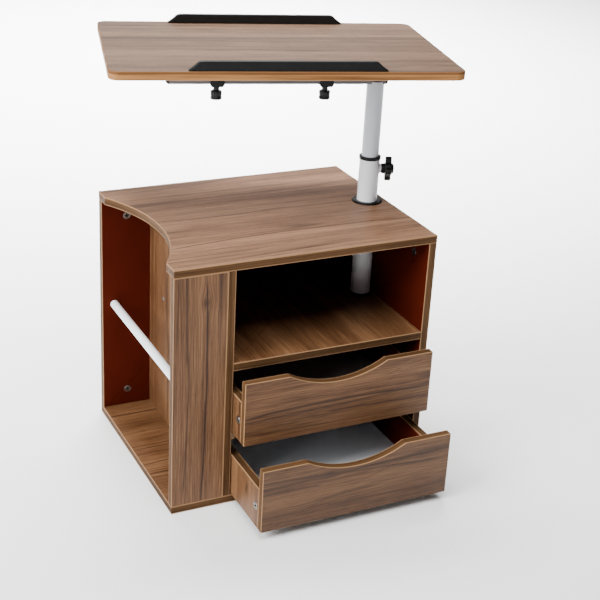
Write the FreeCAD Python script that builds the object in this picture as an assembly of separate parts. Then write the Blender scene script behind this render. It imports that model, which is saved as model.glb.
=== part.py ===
"""Bedside cabinet with two drawers, a magazine bay and a laptop board on a swivelling post.

Sizes are in millimetres. The origin is the centre of the cabinet's underside, on the floor:
X runs to the right, Y to the back and Z up. At rest both drawers stand part open and the
laptop board is swung to the left, over the cabinet.
"""
import FreeCAD, Part

import math
import os

from FreeCAD import Rotation, Vector

X = Vector(1, 0, 0)
Y = Vector(0, 1, 0)
Z = Vector(0, 0, 1)
OUT = "parts"

# Fits
RUNNING_FIT = 0.05      # radial clearance of a shaft that turns or slides
SEAT_FIT = 0.1          # radial clearance of a fastener or rod in its hole
TOUCH_GAP = 0.3         # gap of a screw's tip or a knob's face from what it bears on

# Sheet materials
BOARD = 15.0            # laminated board, everywhere on the cabinet and drawers
LAPTOP_BOARD = 15.0
HARDBOARD = 3.0         # drawer bottoms

# Cabinet
CABINET_WIDTH = 500.0
CABINET_DEPTH = 400.0
CABINET_HEIGHT = 470.0
MAGAZINE_BAY_WIDTH = 96.5
COMPARTMENT_HEIGHT = 174.0
SCOOP_LENGTH = 328.0    # chord of the round cut in the top board's left edge
SCOOP_DEPTH = 48.0
ROD_DIAMETER = 16.0
ROD_WALL = 1.0
ROD_HEIGHT = 240.0
ROD_FROM_LEFT = 24.0
ROD_SOCKET_DEPTH = 8.0

# Drawers
DRAWER_GAP = 2.5        # above, between and under the two fronts
DRAWER_SIDE_GAP = 2.0
DRAWER_DEPTH = 365.0
DRAWER_SIDE_HEIGHT = 80.0
UPPER_DRAWER_PULL = 49.0
LOWER_DRAWER_PULL = 134.5
FINGER_CUT_WIDTH = 190.0
FINGER_CUT_DEPTH = 25.0
FINGER_CUT_SHIFT = -4.0
GROOVE_HEIGHT = 8.0     # from a drawer's underside to its bottom panel
GROOVE_DEPTH = 6.0
RUNNER_WIDTH = 15.0
RUNNER_HEIGHT = 20.0
GLIDE_WIDTH = 12.0
RUNNER_FRONT_GAP = 3.0  # from a closed drawer front to the runner behind it
RUNNER_SCREW_MARGIN = 40.0

# Cabinet fasteners
CAM_DIAMETER = 15.0
CAM_FLOOR = 3.0         # wood left behind a cam
CAM_SETBACK = 34.0      # from a cabinet panel's end to the cam's axis
DRAWER_CAM_SETBACK = 12.0
CAM_FROM_EDGE = 50.0
CAM_SLOT_LENGTH = 9.0
CAM_SLOT_WIDTH = 2.0
CAM_SLOT_DEPTH = 1.5
BOLT_SHANK_DIAMETER = 6.5
BOLT_NECK_DIAMETER = 4.0
BOLT_HEAD_DIAMETER = 6.0
BOLT_HEAD_LENGTH = 5.0
BOLT_THREAD_DIAMETER = 5.0
BOLT_THREAD_LENGTH = 8.0
DOWEL_DIAMETER = 8.0
DOWEL_IN_MATE = 10.0
DOWEL_IN_PANEL = 20.0
DOWEL_END_GAP = 0.5
DOWEL_FROM_CAM = 40.0
SCREW_HEAD_DIAMETER = 9.0
SCREW_HEAD_LENGTH = 4.0
SCREW_SHANK_DIAMETER = 5.0
SCREW_LENGTH = 46.0
SCREW_SOCKET_SIZE = 4.0
SCREW_SOCKET_DEPTH = 2.5
SHELF_SCREW_FROM_BACK = 76.0
SHELF_SCREW_FROM_FRONT = 77.0
BACK_SCREW_SPACING = 150.0
DRAWER_SCREW_SPACING = 40.0
WOOD_SCREW_HEAD_DIAMETER = 7.0
WOOD_SCREW_HEAD_LENGTH = 2.5
WOOD_SCREW_SHANK_DIAMETER = 3.5
WOOD_SCREW_LENGTH = 24.0
GLIDE_SCREW_LENGTH = 14.0

# Post
POST_SIDE_GAP = 3.0     # from the outer tube to the side panel
POST_Y = 0.0
INNER_TUBE_DIAMETER = 32.0
SLEEVE_WALL = 1.5       # space between the two tubes
TUBE_WALL = 1.5
OUTER_TUBE_ABOVE_TOP = 86.0
INNER_TUBE_LENGTH = 281.5
BUSH_WALL = 2.0
FLANGE_WIDTH = 10.0     # beyond the outer tube
FLANGE_RIM = 1.0
FLANGE_BEVEL = 2.0
FLANGE_BEVEL_RUN = 3.0
SOCKET_WIDTH = 6.0      # beyond the outer tube
SOCKET_RIM = 4.0
SOCKET_RECESS = 10.0
SOCKET_FLOOR = 3.0
COLLAR_WALL = 1.5
COLLAR_ABOVE = 4.0
COLLAR_SKIRT = 2.2
COLLAR_SLEEVE = 40.0
GUIDE_HEIGHT = 15.0

# Height clamp
CLAMP_BELOW_TUBE_TOP = 21.0
CLAMP_ANGLE = -25.0     # direction of the clamp's knob, from +X
CLAMP_SCREW_DIAMETER = 8.0
WELD_NUT_DIAMETER = 16.5
WELD_NUT_THICKNESS = 3.0
STAR_HUB_DIAMETER = 19.0
STAR_HUB_LENGTH = 24.5
STAR_DIAMETER = 47.0
STAR_DISC_DIAMETER = 31.0
STAR_LOBE_RADIUS = 6.5
STAR_LOBE_COUNT = 4
STAR_THICKNESS = 12.0
STAR_SETBACK = 7.0      # from the hub's inner face to the lobes
STAR_SCREW_GRIP = 16.0  # length of the screw held in the knob

# Crossbar and tilting brackets
BOARD_SWING = -15.0     # direction of the crossbar and the laptop board, from +X
BOARD_TILT = 1.3        # how far the laptop board's front edge is tipped up at rest
CROSSBAR_SIZE = 25.0
CROSSBAR_WALL = 1.5
CROSSBAR_ABOVE_TUBE = 142.0  # height setting at rest, above the outer tube
CROSSBAR_LENGTH = 394.0
CROSSBAR_RIGHT = 16.0   # from the post's axis to the steel bar's right end
NOTCH_DEPTH = 4.5       # how far the inner tube rises beside the crossbar
CAP_THICKNESS = 5.0
CAP_BEVEL = 4.0
CAP_PLUG_LENGTH = 15.0
BRACKET_SPACING = 198.0
SADDLE_WIDTH = 25.0
SADDLE_WALL = 4.0
SADDLE_CHAMFER = 3.0
EAR_WIDTH = 6.0
EAR_RADIUS = 8.0
PIVOT_DIAMETER = 6.0
KNUCKLE_GAP = 0.3       # between a knuckle and the ears beside it
KNUCKLE_RADIUS = 7.5
KNUCKLE_CLEARANCE = 4.5  # from the knuckle to the saddle under it
LEAF_CLEARANCE = 0.5    # from the ears to the leaf's plate
LEAF_LENGTH = 56.0
LEAF_WIDTH = 40.0
LEAF_THICKNESS = 3.5
LEAF_SCREW_SPACING_ALONG = 28.0
LEAF_SCREW_SPACING_ACROSS = 42.0
LEAF_SCREW_LENGTH = 14.0

# Bracket knobs
KNOB_DIAMETER = 20.5
KNOB_HEIGHT = 15.5
KNOB_NECK_DIAMETER = 11.0
KNOB_NECK_LENGTH = 10.0
KNOB_FLUTES = 12
KNOB_FLUTE_RADIUS = 1.4
KNOB_BOLT_DIAMETER = 6.0
KNOB_BOLT_GRIP = 18.0

# Laptop board
LAPTOP_BOARD_LENGTH = 600.0
LAPTOP_BOARD_DEPTH = 400.0
LAPTOP_BOARD_CORNER = 18.0
LAPTOP_BOARD_REACH = 193.0   # from the post's axis to the board's centre
STOPPER_LENGTH = 333.0
STOPPER_HEIGHT = 17.0
STOPPER_THICKNESS = 8.0
STOPPER_END_RUN = 24.0
STOPPER_END_HEIGHT = 2.5
STOPPER_SHOULDER_RUN = 10.0
STOPPER_SHOULDER_DROP = 4.1
STOPPER_SHOULDER_BULGE = 1.1
STOPPER_HOLLOW_BULGE = 0.65
FRONT_STOPPER_SETBACK = 2.0
FRONT_STOPPER_SHIFT = -4.0
REAR_STOPPER_SETBACK = 9.5
REAR_STOPPER_SHIFT = -2.0
STOPPER_SCREW_SPACING = 130.0
STOPPER_SCREWS = 3

# Places worked out from the sizes
LEFT = -CABINET_WIDTH / 2
RIGHT = CABINET_WIDTH / 2
FRONT = -CABINET_DEPTH / 2
BACK = CABINET_DEPTH / 2
TOP_UNDERSIDE = CABINET_HEIGHT - BOARD
BACK_FACE = BACK - BOARD
PARTITION_LEFT = LEFT + MAGAZINE_BAY_WIDTH
PARTITION_RIGHT = PARTITION_LEFT + BOARD
SIDE_FACE = RIGHT - BOARD
SHELF_TOP = TOP_UNDERSIDE - COMPARTMENT_HEIGHT
SHELF_UNDERSIDE = SHELF_TOP - BOARD
DRAWER_FRONT_HEIGHT = (SHELF_UNDERSIDE - BOARD - 3 * DRAWER_GAP) / 2
LOWER_DRAWER_BOTTOM = BOARD + DRAWER_GAP
UPPER_DRAWER_BOTTOM = LOWER_DRAWER_BOTTOM + DRAWER_FRONT_HEIGHT + DRAWER_GAP
RUNNER_TOP = UPPER_DRAWER_BOTTOM - DRAWER_GAP
RUNNER_FRONT = FRONT + BOARD + RUNNER_FRONT_GAP
CAM_DEPTH = BOARD - CAM_FLOOR
INNER_TUBE_RADIUS = INNER_TUBE_DIAMETER / 2
OUTER_TUBE_BORE = INNER_TUBE_RADIUS + SLEEVE_WALL
OUTER_TUBE_RADIUS = OUTER_TUBE_BORE + TUBE_WALL
OUTER_TUBE_TOP = CABINET_HEIGHT + OUTER_TUBE_ABOVE_TOP
POST_X = SIDE_FACE - POST_SIDE_GAP - OUTER_TUBE_RADIUS
CLAMP_HEIGHT = OUTER_TUBE_TOP - CLAMP_BELOW_TUBE_TOP
WELD_NUT_REACH = OUTER_TUBE_RADIUS + WELD_NUT_THICKNESS
BUSH_BORE = OUTER_TUBE_RADIUS + RUNNING_FIT
BUSH_RADIUS = BUSH_BORE + BUSH_WALL
OUTER_TUBE_BOTTOM = SHELF_TOP - SOCKET_RECESS + SOCKET_FLOOR
CROSSBAR_BOTTOM = OUTER_TUBE_TOP + CROSSBAR_ABOVE_TUBE
INNER_TUBE_TOP = CROSSBAR_BOTTOM + NOTCH_DEPTH
INNER_TUBE_BOTTOM = INNER_TUBE_TOP - INNER_TUBE_LENGTH
CROSSBAR_HALF = CROSSBAR_SIZE / 2
CROSSBAR_TOP = CROSSBAR_BOTTOM + CROSSBAR_SIZE
PIVOT_Z = CROSSBAR_TOP + SADDLE_WALL + KNUCKLE_CLEARANCE + KNUCKLE_RADIUS
LAPTOP_BOARD_UNDERSIDE = PIVOT_Z + EAR_RADIUS + LEAF_CLEARANCE + LEAF_THICKNESS
LAPTOP_BOARD_TOP = LAPTOP_BOARD_UNDERSIDE + LAPTOP_BOARD
SADDLE_BOTTOM = CROSSBAR_BOTTOM - SADDLE_WALL
KNOB_TOP = SADDLE_BOTTOM - TOUCH_GAP
STAR_INNER_FACE = WELD_NUT_REACH + TOUCH_GAP


def block(x_span, y_span, z_span):
    """Return a box between two x, two y and two z values."""
    corner = Vector(x_span[0], y_span[0], z_span[0])
    size = Vector(x_span[1], y_span[1], z_span[1]) - corner
    return Part.makeBox(size.x, size.y, size.z, corner)


def block_about(centre, *edges):
    """Return a box about a centre, whose edges are given as three vectors along the axes."""
    size = edges[0] + edges[1] + edges[2]
    size = Vector(abs(size.x), abs(size.y), abs(size.z))
    return Part.makeBox(size.x, size.y, size.z, centre - size * 0.5)


def rod(radius, start, end):
    """Return a cylinder between two points."""
    return Part.makeCylinder(radius, (end - start).Length, start, end - start)


def tube(outer_radius, inner_radius, start, end):
    """Return a hollow cylinder between two points."""
    return rod(outer_radius, start, end).cut(rod(inner_radius, start, end))


def cone(start_radius, end_radius, start, end):
    """Return a cone's frustum between two points."""
    return Part.makeCone(start_radius, end_radius, (end - start).Length, start, end - start)


def stepped_rod(start, direction, steps, extra=0.0):
    """Return coaxial cylinders end to end, from (radius, length) steps, grown by extra."""
    pieces = []
    for radius, length in steps:
        end = start + direction * length
        pieces.append(rod(radius + extra, start, end))
        start = end
    return fused(pieces)


def fused(shapes):
    """Return one shape made of shapes that touch or overlap."""
    if len(shapes) == 1:
        return shapes[0]
    return shapes[0].fuse(shapes[1:]).removeSplitter()


def cut(shape, cutters):
    """Return a shape with every cutter taken away."""
    if not cutters:
        return shape
    return shape.cut(cutters)


def prism(edges, depth):
    """Return the solid that closed edges sweep along a depth vector."""
    return Part.Face(Part.Wire(edges)).extrude(depth)


def line(start, end):
    """Return a straight edge."""
    return Part.LineSegment(start, end).toShape()


def bulged(start, end, bulge):
    """Return an arc that rises by bulge to the left of the way from start to end, in X and Z."""
    way = end - start
    side = Vector(-way.z, 0, way.x).normalize()
    middle = (start + end) * 0.5 + side * bulge
    return Part.Arc(start, middle, end).toShape()


def on_post(shape):
    """Return a shape moved from the post's own frame to the swung post on the cabinet."""
    moved = shape.copy()
    moved.rotate(Vector(0, 0, 0), Z, BOARD_SWING)
    moved.translate(Vector(POST_X, POST_Y, 0))
    return moved


def on_board(shape):
    """Return a shape of the laptop board, tipped about the brackets' pivots and set on the post."""
    tipped = shape.copy()
    tipped.rotate(Vector(0, 0, PIVOT_Z), X, -BOARD_TILT)
    return on_post(tipped)


class CamJoint:
    """A cam lock and its bolt, which draw the end of a panel against another board."""

    def __init__(self, seam, into_panel, to_face, setback=CAM_SETBACK):
        """Place the joint.

        Args:
            seam: point at mid thickness of the panel, where its end meets the other board.
            into_panel: direction from the seam into the panel that holds the cam.
            to_face: direction from mid thickness to the face that shows the cam.
            setback: distance from the seam to the cam's axis.
        """
        self.seam = seam
        self.into_panel = into_panel
        self.to_face = to_face
        self.setback = setback
        self.face = seam + into_panel * setback + to_face * (BOARD / 2)
        self.pocket_floor = self.face - to_face * CAM_DEPTH

    def bolt_steps(self):
        """Return the bolt's (radius, length) steps, from its thread to its head."""
        shank = self.setback - CAM_DIAMETER / 2
        neck = self.setback - BOLT_HEAD_LENGTH / 2 - shank
        return ((BOLT_THREAD_DIAMETER / 2, BOLT_THREAD_LENGTH),
                (BOLT_SHANK_DIAMETER / 2, shank),
                (BOLT_NECK_DIAMETER / 2, neck),
                (BOLT_HEAD_DIAMETER / 2, BOLT_HEAD_LENGTH))

    def bolt(self):
        """Return the bolt."""
        start = self.seam - self.into_panel * BOLT_THREAD_LENGTH
        return stepped_rod(start, self.into_panel, self.bolt_steps())

    def bolt_hole(self, length):
        """Return a cutter for the bolt's shank and head, from the seam over a length."""
        radius = max(BOLT_SHANK_DIAMETER, BOLT_HEAD_DIAMETER) / 2 + SEAT_FIT
        return rod(radius, self.seam, self.seam + self.into_panel * length)

    def cam(self):
        """Return the cam, with its cross slot and the hole that takes the bolt's head."""
        body = rod(CAM_DIAMETER / 2, self.pocket_floor, self.face)
        across = self.into_panel.cross(self.to_face)
        depth = self.to_face * (2 * CAM_SLOT_DEPTH)
        slots = [block_about(self.face, self.into_panel * CAM_SLOT_LENGTH, across * CAM_SLOT_WIDTH, depth),
                 block_about(self.face, self.into_panel * CAM_SLOT_WIDTH, across * CAM_SLOT_LENGTH, depth)]
        head_end = self.setback + BOLT_HEAD_LENGTH / 2 + DOWEL_END_GAP
        return cut(body, slots + [self.bolt_hole(head_end)])

    def panel_cutters(self):
        """Return the cutters for the panel: the cam's pocket and the bolt's hole."""
        pocket = rod(CAM_DIAMETER / 2 + SEAT_FIT, self.pocket_floor, self.face)
        return [pocket, self.bolt_hole(self.setback)]

    def mate_cutters(self):
        """Return the cutter for the other board: the thread's blind hole."""
        end = self.seam - self.into_panel * BOLT_THREAD_LENGTH
        return [rod(BOLT_THREAD_DIAMETER / 2 + SEAT_FIT, self.seam, end)]


class Dowel:
    """A wooden dowel across the seam between a panel's end and another board."""

    def __init__(self, seam, into_panel):
        """Place the dowel at a seam point, along the direction into the panel."""
        self.seam = seam
        self.into_panel = into_panel

    def pin(self):
        """Return the dowel."""
        start = self.seam - self.into_panel * DOWEL_IN_MATE
        return rod(DOWEL_DIAMETER / 2, start, self.seam + self.into_panel * DOWEL_IN_PANEL)

    def panel_cutters(self):
        """Return the cutter for the panel's hole."""
        end = self.seam + self.into_panel * (DOWEL_IN_PANEL + DOWEL_END_GAP)
        return [rod(DOWEL_DIAMETER / 2 + SEAT_FIT, self.seam, end)]

    def mate_cutters(self):
        """Return the cutter for the other board's hole."""
        end = self.seam - self.into_panel * (DOWEL_IN_MATE + DOWEL_END_GAP)
        return [rod(DOWEL_DIAMETER / 2 + SEAT_FIT, self.seam, end)]


class Screw:
    """A screw with a round head, sunk flush or standing on a face."""

    def __init__(self, face, inward, steps, socket=0.0):
        """Place the screw.

        Args:
            face: centre of the head's outer end.
            inward: direction of the shank.
            steps: (radius, length) of the head and the shank.
            socket: width of the square driving socket, or 0 for none.
        """
        self.face = face
        self.inward = inward
        self.steps = steps
        self.socket = socket

    def body(self):
        """Return the screw."""
        shape = stepped_rod(self.face, self.inward, self.steps)
        if not self.socket:
            return shape
        radius = self.socket / 2
        hole = rod(radius, self.face, self.face + self.inward * SCREW_SOCKET_DEPTH)
        return shape.cut(hole)

    def cutters(self):
        """Return the cutter for the hole that holds the whole screw."""
        return [stepped_rod(self.face, self.inward, self.steps, SEAT_FIT)]


def board_screw(face, inward):
    """Return a large board screw, flush with a face."""
    steps = ((SCREW_HEAD_DIAMETER / 2, SCREW_HEAD_LENGTH),
             (SCREW_SHANK_DIAMETER / 2, SCREW_LENGTH))
    return Screw(face, inward, steps, SCREW_SOCKET_SIZE)


def wood_screw(face, inward, length=WOOD_SCREW_LENGTH):
    """Return a small wood screw, with its head's top on a face."""
    steps = ((WOOD_SCREW_HEAD_DIAMETER / 2, WOOD_SCREW_HEAD_LENGTH),
             (WOOD_SCREW_SHANK_DIAMETER / 2, length - WOOD_SCREW_HEAD_LENGTH))
    return Screw(face, inward, steps)


def both_ends(x, y, make):
    """Return the joints that make builds at an upright panel's ends, as (top, bottom)."""
    top = make(Vector(x, y, TOP_UNDERSIDE), -Z)
    bottom = make(Vector(x, y, BOARD), Z)
    return top, bottom


def upright_joints(places, to_face, along):
    """Return an upright panel's cams and dowels at (x, y) places, as (top, bottom) pairs."""
    pairs = []
    for x, y in places:
        pairs.append(both_ends(x, y, lambda seam, into: CamJoint(seam, into, to_face)))
        beside = Vector(x, y, 0) + along * DOWEL_FROM_CAM
        pairs.append(both_ends(beside.x, beside.y, Dowel))
    return pairs


def back_panel_joints():
    """Return the back panel's joints with the top and bottom boards."""
    y = BACK - BOARD / 2
    left = upright_joints([(LEFT + CAM_FROM_EDGE, y)], -Y, X)
    right = upright_joints([(SIDE_FACE - CAM_FROM_EDGE, y)], -Y, -X)
    return left + right


def side_panel_joints():
    """Return the right side panel's joints with the top and bottom boards."""
    x = RIGHT - BOARD / 2
    front = upright_joints([(x, FRONT + CAM_FROM_EDGE)], -X, Y)
    back = upright_joints([(x, BACK - CAM_FROM_EDGE)], -X, -Y)
    return front + back


def partition_joints():
    """Return the partition's joints with the top and bottom boards."""
    x = PARTITION_LEFT + BOARD / 2
    front = upright_joints([(x, FRONT + CAM_FROM_EDGE)], X, Y)
    back = upright_joints([(x, BACK_FACE - CAM_FROM_EDGE)], X, -Y)
    return front + back


def front_panel_joints():
    """Return the narrow front panel's joints with the top and bottom boards."""
    x = LEFT + CAM_DIAMETER + DOWEL_DIAMETER
    return upright_joints([(x, FRONT + BOARD / 2)], Y, X)


def shelf_joints():
    """Return the shelf's cams with the right side panel."""
    z = SHELF_TOP - BOARD / 2
    places = (FRONT + CAM_FROM_EDGE, BACK_FACE - CAM_FROM_EDGE)
    return [CamJoint(Vector(SIDE_FACE, y, z), -X, -Z) for y in places]


def shelf_screws():
    """Return the screws through the partition into the shelf."""
    z = SHELF_TOP - BOARD / 2
    places = (FRONT + SHELF_SCREW_FROM_FRONT, BACK_FACE - SHELF_SCREW_FROM_BACK)
    return [board_screw(Vector(PARTITION_LEFT, y, z), X) for y in places]


def back_screws():
    """Return the screws through the back panel into the partition."""
    x = PARTITION_LEFT + BOARD / 2
    middle = (BOARD + TOP_UNDERSIDE) / 2
    heights = (middle - BACK_SCREW_SPACING, middle, middle + BACK_SCREW_SPACING)
    return [board_screw(Vector(x, BACK, z), -Y) for z in heights]


UPRIGHT_PAIRS = back_panel_joints() + side_panel_joints() + partition_joints() + front_panel_joints()


def panel_cutters(pairs):
    """Return all the cutters of an upright panel's joints."""
    return [cutter for pair in pairs for joint in pair for cutter in joint.panel_cutters()]


def mate_cutters(index):
    """Return the cutters of all upright joints in the top board (0) or bottom board (1)."""
    return [cutter for pair in UPRIGHT_PAIRS for cutter in pair[index].mate_cutters()]


def screw_cutters(screws):
    """Return all the cutters of a list of screws."""
    return [cutter for screw in screws for cutter in screw.cutters()]


def scoop():
    """Return the cutter of the top board's round cut on its left edge."""
    radius = (SCOOP_LENGTH ** 2 / 4 + SCOOP_DEPTH ** 2) / (2 * SCOOP_DEPTH)
    centre = Vector(LEFT + SCOOP_DEPTH - radius, 0, TOP_UNDERSIDE)
    return rod(radius, centre, centre + Z * BOARD)


def post_axis(z):
    """Return the point of the post's axis at a height."""
    return Vector(POST_X, POST_Y, z)


def top_board():
    """Return the top board, with its scoop and the post's hole."""
    board = block((LEFT, RIGHT), (FRONT, BACK), (TOP_UNDERSIDE, CABINET_HEIGHT))
    hole = rod(BUSH_RADIUS + SEAT_FIT, post_axis(TOP_UNDERSIDE), post_axis(CABINET_HEIGHT))
    return cut(board, [scoop(), hole] + mate_cutters(0))


def bottom_board():
    """Return the bottom board, which stands on the floor."""
    board = block((LEFT, RIGHT), (FRONT, BACK), (0, BOARD))
    return cut(board, mate_cutters(1) + screw_cutters(lower_glide_screws()))


def rod_end(y, direction):
    """Return the cutter of the magazine rod's blind socket in a face at y."""
    face = Vector(LEFT + ROD_FROM_LEFT, y, ROD_HEIGHT)
    return rod(ROD_DIAMETER / 2 + SEAT_FIT, face, face + direction * ROD_SOCKET_DEPTH)


def back_panel():
    """Return the back panel."""
    board = block((LEFT, SIDE_FACE), (BACK_FACE, BACK), (BOARD, TOP_UNDERSIDE))
    cutters = panel_cutters(back_panel_joints()) + screw_cutters(back_screws())
    return cut(board, cutters + [rod_end(BACK_FACE, Y)])


def front_panel():
    """Return the narrow front panel of the magazine bay."""
    board = block((LEFT, PARTITION_LEFT), (FRONT, FRONT + BOARD), (BOARD, TOP_UNDERSIDE))
    return cut(board, panel_cutters(front_panel_joints()) + [rod_end(FRONT + BOARD, -Y)])


def partition():
    """Return the upright partition between the magazine bay and the drawers."""
    board = block((PARTITION_LEFT, PARTITION_RIGHT), (FRONT, BACK_FACE), (BOARD, TOP_UNDERSIDE))
    screws = shelf_screws() + back_screws() + runner_screws()
    return cut(board, panel_cutters(partition_joints()) + screw_cutters(screws))


def right_side_panel():
    """Return the right side panel."""
    board = block((SIDE_FACE, RIGHT), (FRONT, BACK), (BOARD, TOP_UNDERSIDE))
    cutters = panel_cutters(side_panel_joints()) + screw_cutters(runner_screws())
    for joint in shelf_joints():
        cutters += joint.mate_cutters()
    return cut(board, cutters)


def shelf():
    """Return the shelf, with the blind recess that takes the post's socket."""
    board = block((PARTITION_RIGHT, SIDE_FACE), (FRONT, BACK_FACE), (SHELF_UNDERSIDE, SHELF_TOP))
    recess = rod(BUSH_RADIUS + SEAT_FIT, post_axis(SHELF_TOP - SOCKET_RECESS), post_axis(SHELF_TOP))
    cutters = [recess] + screw_cutters(shelf_screws())
    for joint in shelf_joints():
        cutters += joint.panel_cutters()
    return cut(board, cutters)


def magazine_rod():
    """Return the tube that keeps magazines in their bay, with its ends in blind sockets."""
    x = LEFT + ROD_FROM_LEFT
    start = Vector(x, FRONT + BOARD - ROD_SOCKET_DEPTH, ROD_HEIGHT)
    end = Vector(x, BACK_FACE + ROD_SOCKET_DEPTH, ROD_HEIGHT)
    return tube(ROD_DIAMETER / 2, ROD_DIAMETER / 2 - ROD_WALL, start, end)


def cabinet_cam_joints():
    """Return every cam joint of the cabinet."""
    joints = [joint for pair in UPRIGHT_PAIRS for joint in pair if isinstance(joint, CamJoint)]
    return joints + shelf_joints()


def dowels():
    """Return every dowel of the cabinet."""
    return [joint.pin() for pair in UPRIGHT_PAIRS for joint in pair if isinstance(joint, Dowel)]


def runner_spans():
    """Return the two x spans of the upper drawer's runners."""
    return ((PARTITION_RIGHT, PARTITION_RIGHT + RUNNER_WIDTH), (SIDE_FACE - RUNNER_WIDTH, SIDE_FACE))


def runner_screws():
    """Return the screws that hold the runners to the partition and the side panel."""
    z = RUNNER_TOP - RUNNER_HEIGHT / 2
    middle = (RUNNER_FRONT + BACK_FACE) / 2
    places = (RUNNER_FRONT + RUNNER_SCREW_MARGIN, middle, BACK_FACE - RUNNER_SCREW_MARGIN)
    left_face = PARTITION_RIGHT + RUNNER_WIDTH
    right_face = SIDE_FACE - RUNNER_WIDTH
    screws = [wood_screw(Vector(left_face, y, z), -X) for y in places]
    return screws + [wood_screw(Vector(right_face, y, z), X) for y in places]


def drawer_runners():
    """Return the wooden runners under the upper drawer's sides."""
    z_span = (RUNNER_TOP - RUNNER_HEIGHT, RUNNER_TOP)
    strips = [block(span, (RUNNER_FRONT, BACK_FACE), z_span) for span in runner_spans()]
    return [cut(strip, screw_cutters(runner_screws())) for strip in strips]


def glide_spans():
    """Return the x spans of the glide strips, under the middle of each drawer side."""
    left = PARTITION_RIGHT + DRAWER_SIDE_GAP
    right = SIDE_FACE - DRAWER_SIDE_GAP
    return ((left, left + GLIDE_WIDTH), (right - GLIDE_WIDTH, right))


def lower_glide_screws():
    """Return the screws that hold the lower glide strips to the bottom board."""
    places = (RUNNER_FRONT + RUNNER_SCREW_MARGIN, BACK_FACE - RUNNER_SCREW_MARGIN)
    screws = []
    for x_span in glide_spans():
        x = sum(x_span) / 2
        screws += [wood_screw(Vector(x, y, LOWER_DRAWER_BOTTOM), -Z, GLIDE_SCREW_LENGTH) for y in places]
    return screws


def glide_strips(underside):
    """Return the two glide strips that fill the gap between an underside and a drawer."""
    z_span = (underside, underside + DRAWER_GAP)
    return [block(span, (RUNNER_FRONT, BACK_FACE), z_span) for span in glide_spans()]


def lower_glide_strips():
    """Return the glide strips on the bottom board, screwed down."""
    return [cut(strip, screw_cutters(lower_glide_screws())) for strip in glide_strips(BOARD)]


class Drawer:
    """A drawer with a scooped front, two sides, a back and a hardboard bottom."""

    def __init__(self, bottom, pull):
        """Place the drawer by its underside's height and how far it is pulled out."""
        self.z0 = bottom
        self.front_y = FRONT - pull
        self.side_y = self.front_y + BOARD
        self.back_y = self.front_y + DRAWER_DEPTH
        self.x0 = PARTITION_RIGHT + DRAWER_SIDE_GAP
        self.x1 = SIDE_FACE - DRAWER_SIDE_GAP
        self.side_top = bottom + DRAWER_SIDE_HEIGHT

    def bottom_span(self, extra):
        """Return the bottom panel's box, grown sideways by extra into its grooves."""
        reach = GROOVE_DEPTH - SEAT_FIT + extra
        x_span = (self.x0 + BOARD - reach, self.x1 - BOARD + reach)
        y_span = (self.side_y - reach, self.back_y - BOARD + reach)
        low = self.z0 + GROOVE_HEIGHT
        return block(x_span, y_span, (low, low + HARDBOARD))

    def bottom_panel(self):
        """Return the hardboard bottom."""
        return self.bottom_span(0.0)

    def groove(self):
        """Return the cutter of the grooves that hold the bottom."""
        return self.bottom_span(SEAT_FIT)

    def cams(self):
        """Return the cam joints between the two sides and the front."""
        z = self.z0 + DRAWER_SIDE_HEIGHT / 2
        left = Vector(self.x0 + BOARD / 2, self.side_y, z)
        right = Vector(self.x1 - BOARD / 2, self.side_y, z)
        return [CamJoint(left, Y, -X, DRAWER_CAM_SETBACK), CamJoint(right, Y, X, DRAWER_CAM_SETBACK)]

    def back_screws(self):
        """Return the screws through the sides into the back."""
        y = self.back_y - BOARD / 2
        middle = self.z0 + DRAWER_SIDE_HEIGHT / 2
        screws = []
        for z in (middle - DRAWER_SCREW_SPACING / 2, middle + DRAWER_SCREW_SPACING / 2):
            screws.append(board_screw(Vector(self.x0, y, z), X))
            screws.append(board_screw(Vector(self.x1, y, z), -X))
        return screws

    def finger_cut(self):
        """Return the cutter of the round finger hold in the front's top edge."""
        radius = (FINGER_CUT_WIDTH ** 2 / 4 + FINGER_CUT_DEPTH ** 2) / (2 * FINGER_CUT_DEPTH)
        x = (self.x0 + self.x1) / 2 + FINGER_CUT_SHIFT
        z = self.z0 + DRAWER_FRONT_HEIGHT - FINGER_CUT_DEPTH + radius
        return rod(radius, Vector(x, self.front_y, z), Vector(x, self.side_y, z))

    def front(self):
        """Return the drawer front."""
        z_span = (self.z0, self.z0 + DRAWER_FRONT_HEIGHT)
        board = block((self.x0, self.x1), (self.front_y, self.side_y), z_span)
        cutters = [self.finger_cut(), self.groove()]
        for joint in self.cams():
            cutters += joint.mate_cutters()
        return cut(board, cutters)

    def side(self, index):
        """Return the left side (0) or the right side (1)."""
        x = (self.x0, self.x1 - BOARD)[index]
        board = block((x, x + BOARD), (self.side_y, self.back_y), (self.z0, self.side_top))
        cutters = [self.groove()] + self.cams()[index].panel_cutters()
        return cut(board, cutters + screw_cutters(self.back_screws()))

    def back(self):
        """Return the back, between the two sides."""
        x_span = (self.x0 + BOARD, self.x1 - BOARD)
        board = block(x_span, (self.back_y - BOARD, self.back_y), (self.z0, self.side_top))
        return cut(board, [self.groove()] + screw_cutters(self.back_screws()))

    def parts(self, name):
        """Return the drawer's nodes, named after the drawer."""
        return {name + "_front": [self.front()],
                name + "_left_side": [self.side(0)],
                name + "_right_side": [self.side(1)],
                name + "_back": [self.back()],
                name + "_bottom": [self.bottom_panel()],
                name + "_cams": [joint.cam() for joint in self.cams()],
                name + "_cam_bolts": [joint.bolt() for joint in self.cams()],
                name + "_screws": [screw.body() for screw in self.back_screws()]}


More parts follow.
